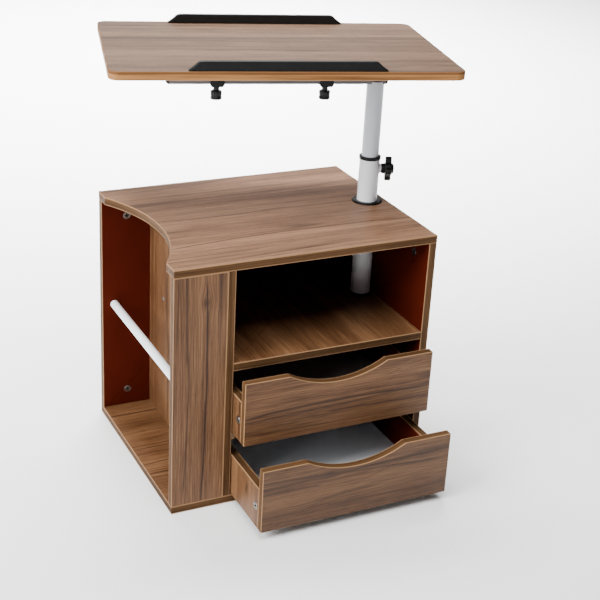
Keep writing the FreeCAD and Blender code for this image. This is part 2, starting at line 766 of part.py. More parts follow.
def post_flange():
    """Return the bevelled bush in the top board, in which the outer tube turns."""
    rim_top = CABINET_HEIGHT + FLANGE_RIM
    bevel_top = rim_top + FLANGE_BEVEL
    radius = OUTER_TUBE_RADIUS + FLANGE_WIDTH
    rim = rod(radius, post_axis(CABINET_HEIGHT), post_axis(rim_top))
    bevel = cone(radius, radius - FLANGE_BEVEL_RUN, post_axis(rim_top), post_axis(bevel_top))
    spigot = rod(BUSH_RADIUS, post_axis(TOP_UNDERSIDE), post_axis(CABINET_HEIGHT))
    bore = rod(BUSH_BORE, post_axis(TOP_UNDERSIDE), post_axis(bevel_top))
    return fused([rim, bevel, spigot]).cut(bore)


def post_socket():
    """Return the cup in the shelf that the outer tube stands in, flat beside the side panel."""
    low = SHELF_TOP - SOCKET_RECESS
    radius = OUTER_TUBE_RADIUS + SOCKET_WIDTH
    rim = rod(radius, post_axis(SHELF_TOP), post_axis(SHELF_TOP + SOCKET_RIM))
    spigot = rod(BUSH_RADIUS, post_axis(low), post_axis(SHELF_TOP))
    bore = rod(BUSH_BORE, post_axis(low + SOCKET_FLOOR), post_axis(SHELF_TOP + SOCKET_RIM))
    beyond = block((SIDE_FACE, SIDE_FACE + radius), (FRONT, BACK), (low, CABINET_HEIGHT))
    return cut(fused([rim, spigot]), [bore, beyond])


def clamp_point(radius):
    """Return the point of the clamp screw's axis at a distance from the post's axis."""
    angle = math.radians(CLAMP_ANGLE)
    return post_axis(CLAMP_HEIGHT) + Vector(math.cos(angle), math.sin(angle), 0) * radius


def clamp_hole():
    """Return the cutter of the clamp screw's way through the tube, the collar and the nut."""
    radius = CLAMP_SCREW_DIAMETER / 2 + RUNNING_FIT
    return rod(radius, clamp_point(0), clamp_point(WELD_NUT_REACH))


def outer_tube():
    """Return the steel outer tube."""
    start = post_axis(OUTER_TUBE_BOTTOM)
    end = post_axis(OUTER_TUBE_TOP)
    return tube(OUTER_TUBE_RADIUS, OUTER_TUBE_BORE, start, end).cut(clamp_hole())


def collar_bush():
    """Return the plastic collar on the outer tube, with the sleeve that guides the inner tube."""
    top = post_axis(OUTER_TUBE_TOP + COLLAR_ABOVE)
    rim_start = post_axis(OUTER_TUBE_TOP - COLLAR_SKIRT)
    tube_top = post_axis(OUTER_TUBE_TOP)
    rim = rod(OUTER_TUBE_RADIUS + COLLAR_WALL, rim_start, top)
    skirt_bore = rod(OUTER_TUBE_RADIUS + SEAT_FIT, rim_start, tube_top)
    sleeve = rod(OUTER_TUBE_BORE - SEAT_FIT, post_axis(OUTER_TUBE_TOP - COLLAR_SLEEVE), top)
    bore = rod(INNER_TUBE_RADIUS + RUNNING_FIT, post_axis(OUTER_TUBE_TOP - COLLAR_SLEEVE), top)
    return cut(fused([rim.cut(skirt_bore), sleeve]), [bore, clamp_hole()])


def weld_nut():
    """Return the round nut welded to the outer tube."""
    nut = rod(WELD_NUT_DIAMETER / 2, clamp_point(OUTER_TUBE_BORE), clamp_point(WELD_NUT_REACH))
    tube_core = rod(OUTER_TUBE_RADIUS, post_axis(OUTER_TUBE_BOTTOM), post_axis(OUTER_TUBE_TOP))
    return cut(nut, [tube_core, clamp_hole()])


def clamp_screw():
    """Return the steel screw that presses on the inner tube."""
    tip = clamp_point(INNER_TUBE_RADIUS + TOUCH_GAP)
    return rod(CLAMP_SCREW_DIAMETER / 2, tip, clamp_point(STAR_INNER_FACE + STAR_SCREW_GRIP))


def star_knob():
    """Return the four-lobed knob of the height clamp."""
    hub_end = clamp_point(STAR_INNER_FACE + STAR_HUB_LENGTH)
    hub = rod(STAR_HUB_DIAMETER / 2, clamp_point(STAR_INNER_FACE), hub_end)
    start = clamp_point(STAR_INNER_FACE + STAR_SETBACK)
    end = clamp_point(STAR_INNER_FACE + STAR_SETBACK + STAR_THICKNESS)
    along = (end - start).normalize()
    pieces = [hub, rod(STAR_DISC_DIAMETER / 2, start, end)]
    for index in range(STAR_LOBE_COUNT):
        turn = Rotation(along, 360.0 * index / STAR_LOBE_COUNT)
        offset = turn.multVec(Z * (STAR_DIAMETER / 2 - STAR_LOBE_RADIUS))
        pieces.append(rod(STAR_LOBE_RADIUS, start + offset, end + offset))
    screw_end = clamp_point(STAR_INNER_FACE + STAR_SCREW_GRIP)
    bore = rod(CLAMP_SCREW_DIAMETER / 2 + SEAT_FIT, clamp_point(STAR_INNER_FACE), screw_end)
    return fused(pieces).cut(bore)


def inner_tube():
    """Return the steel inner tube, notched round the crossbar's underside."""
    start = Vector(0, 0, INNER_TUBE_BOTTOM)
    pipe = tube(INNER_TUBE_RADIUS, INNER_TUBE_RADIUS - TUBE_WALL, start, Vector(0, 0, INNER_TUBE_TOP))
    reach = (-INNER_TUBE_DIAMETER, INNER_TUBE_DIAMETER)
    notch = block(reach, (-CROSSBAR_HALF, CROSSBAR_HALF), (CROSSBAR_BOTTOM, CROSSBAR_TOP))
    return on_post(pipe.cut(notch))


def inner_tube_guide():
    """Return the plastic ring on the inner tube's lower end, which slides in the outer tube."""
    start = Vector(0, 0, INNER_TUBE_BOTTOM)
    end = start + Z * GUIDE_HEIGHT
    return on_post(tube(OUTER_TUBE_BORE - RUNNING_FIT, INNER_TUBE_RADIUS, start, end))


def crossbar_end(side):
    """Return the steel crossbar's end at its left (-1) or right (1), along the bar."""
    return CROSSBAR_RIGHT - (CROSSBAR_LENGTH if side < 0 else 0.0)


def crossbar():
    """Return the square steel tube across the top of the inner tube."""
    x_span = (crossbar_end(-1), crossbar_end(1))
    inside = CROSSBAR_HALF - CROSSBAR_WALL
    outer = block(x_span, (-CROSSBAR_HALF, CROSSBAR_HALF), (CROSSBAR_BOTTOM, CROSSBAR_TOP))
    hollow_z = (CROSSBAR_BOTTOM + CROSSBAR_WALL, CROSSBAR_TOP - CROSSBAR_WALL)
    return on_post(outer.cut(block(x_span, (-inside, inside), hollow_z)))


def crossbar_cap(side):
    """Return the plastic cap of the crossbar's left (-1) or right (1) end."""
    end = crossbar_end(side)
    middle = (CROSSBAR_BOTTOM + CROSSBAR_TOP) / 2
    plug_half = CROSSBAR_HALF - CROSSBAR_WALL - SEAT_FIT
    outer_x = end + side * CAP_THICKNESS
    plug_x = end - side * CAP_PLUG_LENGTH
    cap = block(sorted((end, outer_x)), (-CROSSBAR_HALF, CROSSBAR_HALF), (CROSSBAR_BOTTOM, CROSSBAR_TOP))
    rim = [edge for edge in cap.Edges if edge.BoundBox.XLength < 1 and abs(edge.CenterOfMass.x - outer_x) < 1]
    plug = block(sorted((end, plug_x)), (-plug_half, plug_half), (middle - plug_half, middle + plug_half))
    return on_post(fused([cap.makeChamfer(CAP_BEVEL, rim), plug]))


def bracket_x(side):
    """Return the place along the bar of the left (-1) or right (1) bracket."""
    return -LAPTOP_BOARD_REACH + side * BRACKET_SPACING / 2


def knob_bolt(x, extra=0.0):
    """Return a bracket knob's bolt at a place along the bar, grown by extra."""
    tip = Vector(x, 0, CROSSBAR_BOTTOM - TOUCH_GAP)
    return rod(KNOB_BOLT_DIAMETER / 2 + extra, tip, tip - Z * KNOB_BOLT_GRIP)


def pivot_pin(x, extra=0.0):
    """Return a bracket's pivot pin at a place along the bar, grown by extra."""
    half = Vector(SADDLE_WIDTH / 2, 0, 0)
    centre = Vector(x, 0, PIVOT_Z)
    return rod(PIVOT_DIAMETER / 2 + extra, centre - half, centre + half)


def saddle(x):
    """Return a bracket's lower part: a sleeve round the bar with two ears for the pivot."""
    half_width = SADDLE_WIDTH / 2
    half_depth = CROSSBAR_HALF + SADDLE_WALL
    sleeve_top = CROSSBAR_TOP + SADDLE_WALL
    x_span = (x - half_width, x + half_width)
    sleeve = block(x_span, (-half_depth, half_depth), (SADDLE_BOTTOM, sleeve_top))
    low_edges = [edge for edge in sleeve.Edges
                 if edge.BoundBox.XLength < 1 and edge.BoundBox.ZMax < SADDLE_BOTTOM + 1]
    pieces = [sleeve.makeChamfer(SADDLE_CHAMFER, low_edges)]
    for x_ear in (x - half_width, x + half_width - EAR_WIDTH):
        start = Vector(x_ear, 0, PIVOT_Z)
        pieces.append(rod(EAR_RADIUS, start, start + X * EAR_WIDTH))
        pieces.append(block((x_ear, x_ear + EAR_WIDTH), (-EAR_RADIUS, EAR_RADIUS), (sleeve_top, PIVOT_Z)))
    bar = block(x_span, (-CROSSBAR_HALF, CROSSBAR_HALF), (CROSSBAR_BOTTOM, CROSSBAR_TOP))
    return on_post(cut(fused(pieces), [bar, pivot_pin(x, SEAT_FIT), knob_bolt(x, RUNNING_FIT)]))


def leaf_screws(x):
    """Return the four screws that hold a bracket's leaf to the laptop board."""
    half_along = LEAF_SCREW_SPACING_ALONG / 2
    half_across = LEAF_SCREW_SPACING_ACROSS / 2
    z = LAPTOP_BOARD_UNDERSIDE - LEAF_THICKNESS - WOOD_SCREW_HEAD_LENGTH
    places = [(x + a * half_along, b * half_across) for a in (-1, 1) for b in (-1, 1)]
    return [wood_screw(Vector(px, py, z), Z, LEAF_SCREW_LENGTH) for px, py in places]


def leaf(x):
    """Return a bracket's upper part: a plate under the board with a knuckle on the pivot."""
    low = LAPTOP_BOARD_UNDERSIDE - LEAF_THICKNESS
    half = SADDLE_WIDTH / 2 - EAR_WIDTH - KNUCKLE_GAP
    x_plate = (x - LEAF_WIDTH / 2, x + LEAF_WIDTH / 2)
    plate = block(x_plate, (-LEAF_LENGTH / 2, LEAF_LENGTH / 2), (low, LAPTOP_BOARD_UNDERSIDE))
    knuckle = rod(KNUCKLE_RADIUS, Vector(x - half, 0, PIVOT_Z), Vector(x + half, 0, PIVOT_Z))
    neck = block((x - half, x + half), (-KNUCKLE_RADIUS, KNUCKLE_RADIUS), (PIVOT_Z, low))
    cutters = [pivot_pin(x, RUNNING_FIT)] + screw_cutters(leaf_screws(x))
    return on_board(cut(fused([plate, knuckle, neck]), cutters))


def bracket_knob(x):
    """Return the fluted knob under a bracket, with its neck."""
    neck_end = Vector(x, 0, KNOB_TOP - KNOB_NECK_LENGTH)
    low = neck_end - Z * KNOB_HEIGHT
    neck = rod(KNOB_NECK_DIAMETER / 2, Vector(x, 0, KNOB_TOP), neck_end)
    grip = rod(KNOB_DIAMETER / 2, neck_end, low)
    flutes = []
    for index in range(KNOB_FLUTES):
        offset = Rotation(Z, 360.0 * index / KNOB_FLUTES).multVec(X * (KNOB_DIAMETER / 2))
        flutes.append(rod(KNOB_FLUTE_RADIUS, neck_end + offset, low + offset))
    return on_post(cut(fused([neck, cut(grip, flutes)]), [knob_bolt(x, SEAT_FIT)]))


def laptop_board():
    """Return the laptop board, with rounded corners."""
    half_length = LAPTOP_BOARD_LENGTH / 2
    half_depth = LAPTOP_BOARD_DEPTH / 2
    x_span = (-LAPTOP_BOARD_REACH - half_length, -LAPTOP_BOARD_REACH + half_length)
    board = block(x_span, (-half_depth, half_depth), (LAPTOP_BOARD_UNDERSIDE, LAPTOP_BOARD_TOP))
    corners = [edge for edge in board.Edges if edge.BoundBox.ZLength > 1]
    board = board.makeFillet(LAPTOP_BOARD_CORNER, corners)
    screws = front_stopper_screws() + rear_stopper_screws()
    screws += leaf_screws(bracket_x(-1)) + leaf_screws(bracket_x(1))
    return on_board(cut(board, screw_cutters(screws)))


def stopper_profile(x, y):
    """Return the edges of a stopper's outline about a centre x, in the plane at y."""
    half = STOPPER_LENGTH / 2

    def point(run, height, side):
        return Vector(x + side * (half - run), y, LAPTOP_BOARD_TOP + height)

    shoulder_run = STOPPER_END_RUN - STOPPER_SHOULDER_RUN
    shoulder_height = STOPPER_HEIGHT - STOPPER_SHOULDER_DROP
    edges = [line(point(0, 0, -1), point(0, 0, 1))]
    for side, turn in ((1, 1), (-1, -1)):
        foot = point(0, 0, side)
        lip = point(0, STOPPER_END_HEIGHT, side)
        bend = point(shoulder_run, shoulder_height, side)
        top = point(STOPPER_END_RUN, STOPPER_HEIGHT, side)
        edges.append(line(foot, lip))
        edges.append(bulged(lip, bend, turn * STOPPER_HOLLOW_BULGE))
        edges.append(bulged(bend, top, -turn * STOPPER_SHOULDER_BULGE))
    edges.append(line(point(STOPPER_END_RUN, STOPPER_HEIGHT, 1), point(STOPPER_END_RUN, STOPPER_HEIGHT, -1)))
    return Part.__sortEdges__(edges)


def stopper_screws(x, y):
    """Return the screws up through the laptop board into a stopper about (x, y)."""
    first = x - STOPPER_SCREW_SPACING * (STOPPER_SCREWS - 1) / 2
    places = [first + STOPPER_SCREW_SPACING * index for index in range(STOPPER_SCREWS)]
    return [wood_screw(Vector(px, y, LAPTOP_BOARD_UNDERSIDE), Z) for px in places]


def stopper_place(side):
    """Return the centre of the front (-1) or rear (1) stopper as (x, y), in the post's frame."""
    if side < 0:
        y = -LAPTOP_BOARD_DEPTH / 2 + FRONT_STOPPER_SETBACK + STOPPER_THICKNESS / 2
        return -LAPTOP_BOARD_REACH + FRONT_STOPPER_SHIFT, y
    y = LAPTOP_BOARD_DEPTH / 2 - REAR_STOPPER_SETBACK - STOPPER_THICKNESS / 2
    return -LAPTOP_BOARD_REACH + REAR_STOPPER_SHIFT, y


def front_stopper_screws():
    """Return the front stopper's screws."""
    return stopper_screws(*stopper_place(-1))


def rear_stopper_screws():
    """Return the rear stopper's screws."""
    return stopper_screws(*stopper_place(1))


def stopper(side):
    """Return the front (-1) or rear (1) ledge that keeps a laptop on the tilted board."""
    x, y = stopper_place(side)
    edges = stopper_profile(x, y - STOPPER_THICKNESS / 2)
    ledge = prism(edges, Y * STOPPER_THICKNESS)
    return on_board(cut(ledge, screw_cutters(stopper_screws(x, y))))


def bodies(screws):
    """Return the solids of a list of screws."""
    return [screw.body() for screw in screws]


def cabinet_parts():
    """Return the cabinet's nodes."""
    joints = cabinet_cam_joints()
    return {"top_board": [top_board()],
            "bottom_board": [bottom_board()],
            "back_panel": [back_panel()],
            "front_panel": [front_panel()],
            "partition": [partition()],
            "right_side_panel": [right_side_panel()],
            "shelf": [shelf()],
            "magazine_rod": [magazine_rod()],
            "cabinet_cams": [joint.cam() for joint in joints],
            "cabinet_cam_bolts": [joint.bolt() for joint in joints],
            "cabinet_dowels": dowels(),
            "board_screws": bodies(shelf_screws() + back_screws()),
            "drawer_runners": drawer_runners(),
            "runner_screws": bodies(runner_screws()),
            "upper_glide_strips": glide_strips(RUNNER_TOP),
            "lower_glide_strips": lower_glide_strips(),
            "glide_screws": bodies(lower_glide_screws()),
            "post_flange": [post_flange()],
            "post_socket": [post_socket()]}


def post_parts():
    """Return the nodes of the swivelling post and its height clamp."""
    return {"outer_tube": [outer_tube()],
            "collar_bush": [collar_bush()],
            "weld_nut": [weld_nut()],
            "star_knob": [star_knob()],
            "clamp_screw": [clamp_screw()],
            "inner_tube": [inner_tube()],
            "inner_tube_guide": [inner_tube_guide()],
            "crossbar": [crossbar()],
            "crossbar_caps": [crossbar_cap(-1), crossbar_cap(1)]}


def bracket_parts(name, side):
    """Return the nodes of one tilting bracket, on the left (-1) or right (1)."""
    x = bracket_x(side)
    return {name + "_saddle": [saddle(x)],
            name + "_pivot_pin": [on_post(pivot_pin(x))],
            name + "_leaf": [leaf(x)],
            name + "_bracket_knob": [bracket_knob(x)],
            name + "_knob_bolt": [on_post(knob_bolt(x))]}


def board_parts():
    """Return the laptop board's nodes."""
    leaf_fasteners = leaf_screws(bracket_x(-1)) + leaf_screws(bracket_x(1))
    ledge_fasteners = front_stopper_screws() + rear_stopper_screws()
    return {"laptop_board": [laptop_board()],
            "front_stopper": [stopper(-1)],
            "rear_stopper": [stopper(1)],
            "leaf_screws": [on_board(screw) for screw in bodies(leaf_fasteners)],
            "stopper_screws": [on_board(screw) for screw in bodies(ledge_fasteners)]}


def all_parts():
    """Return every node of the part as a list of solids under its name."""
    parts = cabinet_parts()
    parts.update(Drawer(UPPER_DRAWER_BOTTOM, UPPER_DRAWER_PULL).parts("upper_drawer"))
    parts.update(Drawer(LOWER_DRAWER_BOTTOM, LOWER_DRAWER_PULL).parts("lower_drawer"))
    parts.update(post_parts())
    parts.update(bracket_parts("left", -1))
    parts.update(bracket_parts("right", 1))
    parts.update(board_parts())
    return parts


def write(parts):
    """Write each node to its own STEP file."""
    os.makedirs(OUT, exist_ok=True)
    for name, shapes in parts.items():
        solids = [solid for shape in shapes for solid in shape.Solids]
        Part.makeCompound(solids).exportStep(os.path.join(OUT, name + ".step"))
        print(name, len(solids), "solid(s)")


write(all_parts())
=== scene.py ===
"""Dresses the bedside laptop cabinet: walnut laminate boards, a white steel post and black fittings."""

from __future__ import annotations

import logging
import math
from dataclasses import dataclass, replace
from enum import Enum
from functools import cached_property
from typing import Any, Callable, Union

import bmesh
import bpy
import numpy as np
from mathutils import Matrix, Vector
from mathutils.geometry import tessellate_polygon


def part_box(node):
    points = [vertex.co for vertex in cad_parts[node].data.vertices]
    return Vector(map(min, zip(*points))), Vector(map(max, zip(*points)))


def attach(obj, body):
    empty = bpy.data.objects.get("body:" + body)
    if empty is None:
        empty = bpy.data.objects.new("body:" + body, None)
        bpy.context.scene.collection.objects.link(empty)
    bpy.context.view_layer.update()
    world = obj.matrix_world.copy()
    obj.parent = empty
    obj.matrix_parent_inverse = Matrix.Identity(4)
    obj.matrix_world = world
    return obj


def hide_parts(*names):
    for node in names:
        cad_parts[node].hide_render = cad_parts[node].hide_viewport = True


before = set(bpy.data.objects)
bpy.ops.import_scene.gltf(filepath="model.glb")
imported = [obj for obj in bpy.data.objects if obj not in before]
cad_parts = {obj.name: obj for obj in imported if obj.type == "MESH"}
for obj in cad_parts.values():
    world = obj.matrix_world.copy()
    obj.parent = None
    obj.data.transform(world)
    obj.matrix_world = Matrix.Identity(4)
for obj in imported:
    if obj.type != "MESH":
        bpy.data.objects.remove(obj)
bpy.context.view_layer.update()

LOG = logging.getLogger("cabinet")
Colour = tuple[float, float, float, float]
Pair = tuple[float, float]
Point = tuple[float, float, float]
Corners = tuple[Point, ...]
GAMMA = 2.2
WELD = 2e-6
HAIR = 1e-5
SHARP, KNOB_SHARP, COPY_SHARP, FLAT, BEVEL_FROM = 40.0, 50.0, 60.0, 2.0, 40.0
EVEN = (1.0, 1.0, 1.0)
TO_LEFT, TO_RIGHT, TO_FRONT, TO_BACK, DOWN = (-1, 0, 0), (1, 0, 0), (0, -1, 0), (0, 1, 0), (0, 0, -1)


def srgb(red: float, green: float, blue: float) -> Colour:
    """Returns a linear colour from display values: each is divided by 255 and raised to the gamma."""
    return ((red / 255) ** GAMMA, (green / 255) ** GAMMA, (blue / 255) ** GAMMA, 1.0)


# ---- shader values and finishes


def operator(operation: str, swapped: bool = False) -> Callable[..., Socket]:
    """Makes an operator of Socket.

    Args:
        operation: what its Math node does.
        swapped: whether the socket comes second.

    Returns:
        The operator's method.
    """

    def method(self: Socket, other: Value = 0.0) -> Socket:
        """Adds the Math node."""
        return self.finish.math(operation, *((other, self) if swapped else (self, other)))

    return method


class Socket:
    """One value in a shader, used with +, -, *, / and ** as a number is."""

    __add__ = __radd__ = operator("ADD")
    __sub__, __rsub__ = operator("SUBTRACT"), operator("SUBTRACT", True)
    __mul__ = __rmul__ = operator("MULTIPLY")
    __truediv__, __rtruediv__ = operator("DIVIDE"), operator("DIVIDE", True)
    __pow__, __abs__ = operator("POWER"), operator("ABSOLUTE")

    def __init__(self, finish: Finish, link: bpy.types.NodeSocket) -> None:
        """Keeps the finish and the node output that carries the value."""
        self.finish, self.link = finish, link


Value = Union[Socket, float]


@dataclass(frozen=True)
class Finish:
    """A finish: a node material round a Principled surface, painted when it is first worn."""

    name: str

    @cached_property
    def blank(self) -> bpy.types.Material:
        """Makes the material before it is painted, with its surface on its output.

        Returns:
            The material.
        """
        made = bpy.data.materials.new(self.name)
        made.use_nodes = True
        return made

    @property
    def surface(self) -> bpy.types.Node:
        """The Principled surface."""
        return self.blank.node_tree.nodes["Principled BSDF"]

    @cached_property
    def grain(self) -> tuple[Socket, Socket]:
        """The Grain map's distances along and across the grain, in metres."""
        place = self.node("UVMap", {}, uv_map="Grain")
        return tuple(self.node("SeparateXYZ", {0: place}, output) for output in (0, 1))

    @cached_property
    def material(self) -> bpy.types.Material:
        """The painted material."""
        self.paint()
        return self.blank

    def paint(self) -> None:
        """Joins the material's nodes; each finish has its own."""
        raise NotImplementedError

    def feed(self, target: bpy.types.NodeSocket, value: Any) -> None:
        """Links a socket value to an input, or sets a plain value on it.

        Args:
            target: the input.
            value: what it gets.
        """
        if isinstance(value, Socket):
            self.blank.node_tree.links.new(value.link, target)
        else:
            target.default_value = value

    def node(self, kind: str, inputs: dict[Any, Any], output: Any = 0, stops: tuple = (),
             **settings: Any) -> Socket:
        """Adds any node.

        Args:
            kind: node type without its ShaderNode prefix.
            inputs: value or link of each input, by name or index.
            output: name or index of the output to return.
            stops: positions and colours of a ramp.
            **settings: node properties, set before the inputs.

        Returns:
            The chosen output.
        """
        made = self.blank.node_tree.nodes.new("ShaderNode" + kind)
        for key, value in settings.items():
            setattr(made, key, value)
        for index, (place, colour) in enumerate(stops):
            ramp = made.color_ramp.elements
            stop = ramp[index] if index < 2 else ramp.new(place)
            stop.position, stop.color = place, colour
        for key, value in inputs.items():
            self.feed(made.inputs[key], value)
        return Socket(self, made.outputs[output])

    def math(self, operation: str, first: Value, second: Value = 0.0) -> Socket:
        """Adds a Math node."""
        return self.node("Math", {0: first, 1: second}, operation=operation)

    def bell(self, square: Socket, sharp: float) -> Socket:
        """Returns a bell curve: e to the power of minus the square times the sharpness."""
        return self.math("EXPONENT", square * -sharp)

    def smooth(self, value: Value, low: float, high: float) -> Socket:
        """Returns a soft step that goes from 0 at low to 1 at high."""
        inputs = {"Value": value, "From Min": low, "From Max": high}
        return self.node("MapRange", inputs, interpolation_type="SMOOTHSTEP")

    def mix(self, factor: Value, low: Any, high: Any) -> Socket:
        """Mixes two colours."""
        return self.node("Mix", {0: factor, 6: low, 7: high}, 2, data_type="RGBA")

    def noise(self, place: Socket, scale: float, detail: float = 2.0, rough: float = 0.5) -> Socket:
        """Returns fractal noise, about 0.5 in the middle."""
        return self.node("TexNoise", {"Vector": place, "Scale": scale, "Detail": detail, "Roughness": rough})

    def lines(self, along: Value, across: Value, level: float = 0.0, detail: float = 2.0,
              rough: float = 0.5) -> Socket:
        """Returns noise over two distances, at one level of the third."""
        return self.noise(self.node("CombineXYZ", {0: along, 1: across, 2: level}), 1.0, detail, rough)

    def object_place(self, stretch: Point = EVEN) -> Socket:
        """Returns the Object coordinates, stretched."""
        return self.node("Mapping", {"Vector": self.node("TexCoord", {}, "Object"), "Scale": stretch})

    def spots(self, scale: float, detail: float = 2.0, rough: float = 0.5, stretch: Point = EVEN) -> Socket:
        """Returns noise over the stretched Object coordinates."""
        return self.noise(self.object_place(stretch), scale, detail, rough)

    def bump(self, height: Value, distance: float, strength: float) -> None:
        """Feeds a height to the surface's Normal through a Bump node."""
        inputs = {"Height": height, "Distance": distance, "Strength": strength}
        self.feed(self.surface.inputs["Normal"], self.node("Bump", inputs))

    def set(self, **sockets: Any) -> None:
        """Sets the surface's sockets, named with _ for each space."""
        for key, value in sockets.items():
            self.feed(self.surface.inputs[key.replace("_", " ")], value)


@dataclass(frozen=True)
class Knot:
    """A knot of the decor: its place and reach in metres, along and across the grain."""

    along: float
    across: float
    length: float
    width: float
    depth: float = 0.8


@dataclass(frozen=True)
class Vein:
    """A long dark vein of the decor: its middle, reach, bow, slope and width in metres."""

    along: float
    across: float
    reach: float
    bow: float = 0.0
    slope: float = 0.0
    width: float = 0.0013
    depth: float = 0.85


@dataclass(frozen=True)
class WalnutDecor(Finish):
    """Printed walnut laminate: broad bands, streaks, thin dark veins, pores and knots."""

    light: Colour
    middle: Colour
    dark: Colour
    line: Colour
    knots: tuple[Knot, ...] = ()
    veins: tuple[Vein, ...] = ()
    wander: float = 0.018
    wave: float = 0.006
    pull: float = 0.85

    def bent(self) -> tuple[Socket, Value]:
        """Bends the lines of the grain round the knots.

        Each knot pulls the distance across the grain towards its middle by a bell curve, so that lines
        beside it bow outwards; the eye is a narrower bell.

        Returns:
            The bent distance across the grain, and the eyes' mask.
        """
        along, across = self.grain
        bent = across + (self.lines(along * 1.6, across * 5.0, 4.0, 1.0) - 0.5) * self.wander
        eyes: Value = 0.0
        for knot in self.knots:
            run = (along - knot.along) / knot.length
            rise = (across - knot.across) / knot.width
            far = run * run + rise * rise
            bent = bent - (across - knot.across) * self.bell(far, 0.5) * self.pull
            eyes = self.math("MAXIMUM", eyes, self.bell(far, 1.7) * knot.depth)
        return bent, eyes

    def long_veins(self) -> Value:
        """Draws the long veins as thin bells across the grain, faded out past each end.

        Returns:
            Their mask, from 0 to 1.
        """
        along, across = self.grain
        mask: Value = 0.0
        wave = (self.lines(along * 9.0, 0.0, 7.0) - 0.5) * self.wave
        for vein in self.veins:
            run = (along - vein.along) / vein.reach
            off = across - vein.across - wave - run * vein.slope - run * run * vein.bow
            thin = self.bell((off / vein.width) ** 2.0, 0.5)
            ends = 1.0 - self.smooth(abs(run), 0.75, 1.0)
            mask = self.math("MAXIMUM", mask, thin * ends * vein.depth)
        return mask

    def paint(self) -> None:
        """Paints the laminate: noise at four widths, drawn out along the bent grain."""
        along = self.grain[0]
        bent, eyes = self.bent()
        bands = self.lines(along * 0.6, bent * 20.0, rough=0.6)
        streaks = self.lines(along * 0.9, bent * 140.0, 2.0, 4.0, 0.75)
        fibres = self.lines(along * 15.0, bent * 540.0, 5.0, 3.0, 0.6)
        pits = self.smooth(self.lines(along * 70.0, bent * 1500.0, 3.0, 1.0), 0.62, 0.72)
        contour = self.lines(along * 0.5, bent * 15.0, 9.0, 1.0)
        strength = self.lines(along * 1.5, bent * 30.0, 12.0, 1.0)
        first = 1.0 - self.smooth(abs(contour - 0.48), 0.003, 0.018)
        second = 1.0 - self.smooth(abs(contour - 0.60), 0.002, 0.013)
        veins = self.math("MAXIMUM", first, second) * self.smooth(strength, 0.42, 0.62) * 0.6
        veins = self.math("MAXIMUM", veins, self.long_veins())
        tone = bands * 0.40 + streaks * 0.42 + fibres * 0.48 - 0.15
        stops = ((0.38, self.dark), (0.50, self.middle), (0.64, self.light))
        colour = self.node("ValToRGB", {"Fac": tone}, stops=stops)
        colour = self.mix(self.math("MAXIMUM", veins, eyes), colour, self.line)
        colour = self.mix(pits * 0.35, colour, self.line)
        self.bump(fibres * 0.5 - pits, 0.00006, 0.5)
        rough = 0.40 + streaks * 0.16 + pits * 0.2
        self.set(Base_Color=colour, Roughness=rough, Specular_IOR_Level=0.3)


@dataclass(frozen=True)
class EdgeBand(Finish):
    """Edge banding: a plain band of grain with a pale painted highlight along both arrises, and where asked a
    darker strip of painted shade along its top.
    """

    tone: Colour
    streak: Colour
    # Colour of the painted highlight along both arrises.
    arris: Colour
    shade_top: float = 0.0
    half: float = 0.0075
    highlight_start: float = 0.0022
    highlight_full: float = 0.0010
    ragged: float = 0.0006
    shade_blend: float = 0.0004

    def paint(self) -> None:
        """Paints the band, whose Grain map is centred across it."""
        along, across = self.grain
        streaks = self.lines(along * 5.0, across * 420.0, 0.0, 3.0, 0.6)
        broad = self.lines(along * 3.0, across * 60.0, 4.0)
        rubbed = self.lines(along * 40.0, across * 90.0, 8.0)
        colour = self.mix(self.smooth(streaks * 0.6 + broad * 0.5, 0.40, 0.68), self.streak, self.tone)
        # Painted highlight: the arris colour is mixed in towards both edges of the band, its inner edge made
        # ragged by noise.
        out = abs(across) + (rubbed - 0.5) * self.ragged
        edge = self.smooth(out, self.half - self.highlight_start, self.half - self.highlight_full)
        colour = self.mix(edge * 0.85, colour, self.arris)
        # Painted shade: a strip along the top of the band is mixed towards the darker streak colour.
        if self.shade_top:
            shade_line = self.half - self.shade_top
            above = self.smooth(across, shade_line - self.shade_blend, shade_line + self.shade_blend)
            colour = self.mix(above * 0.85, colour, self.streak)
        self.bump(streaks, 0.00005, 0.4)
        self.set(Base_Color=colour, Roughness=0.5 + streaks * 0.14, Specular_IOR_Level=0.08)


@dataclass(frozen=True)
class ReversePaper(Finish):
    """Dark red-brown paper on the boards' reverse faces, with a fine pebbled surface."""

    tone: Colour
    deep: Colour

    def paint(self) -> None:
        """Paints the paper: clouds and pebbles."""
        along, across = self.grain
        cloud = self.noise(self.node("CombineXYZ", {0: along, 1: across}), 14.0, 3.0)
        pebble = self.noise(self.node("CombineXYZ", {0: along, 1: across, 2: 2.0}), 900.0)
        colour = self.mix(cloud * 0.7 + pebble * 0.3, self.deep, self.tone)
        self.bump(pebble, 0.00003, 0.4)
        self.set(Base_Color=colour, Roughness=0.6 + cloud * 0.12, Specular_IOR_Level=0.04)


@dataclass(frozen=True)
class PowderCoat(Finish):
    """Powder coat on steel: a slight orange peel, with faint grey scuffs."""

    tone: Colour
    scuff: Colour

    def paint(self) -> None:
        """Paints the coat: peel, and rubs that show in patches."""
        peel, patch = self.spots(620.0), self.spots(11.0)
        rubs = self.spots(160.0, 3.0, 0.7, (1.0, 1.0, 0.12))
        worn = self.smooth(rubs, 0.60, 0.75) * self.smooth(patch, 0.45, 0.65)
        colour = self.mix(worn * 0.5, self.tone, self.scuff)
        self.bump(peel, 0.00005, 0.35)
        self.set(Base_Color=colour, Roughness=0.26 + patch * 0.08 + worn * 0.2)


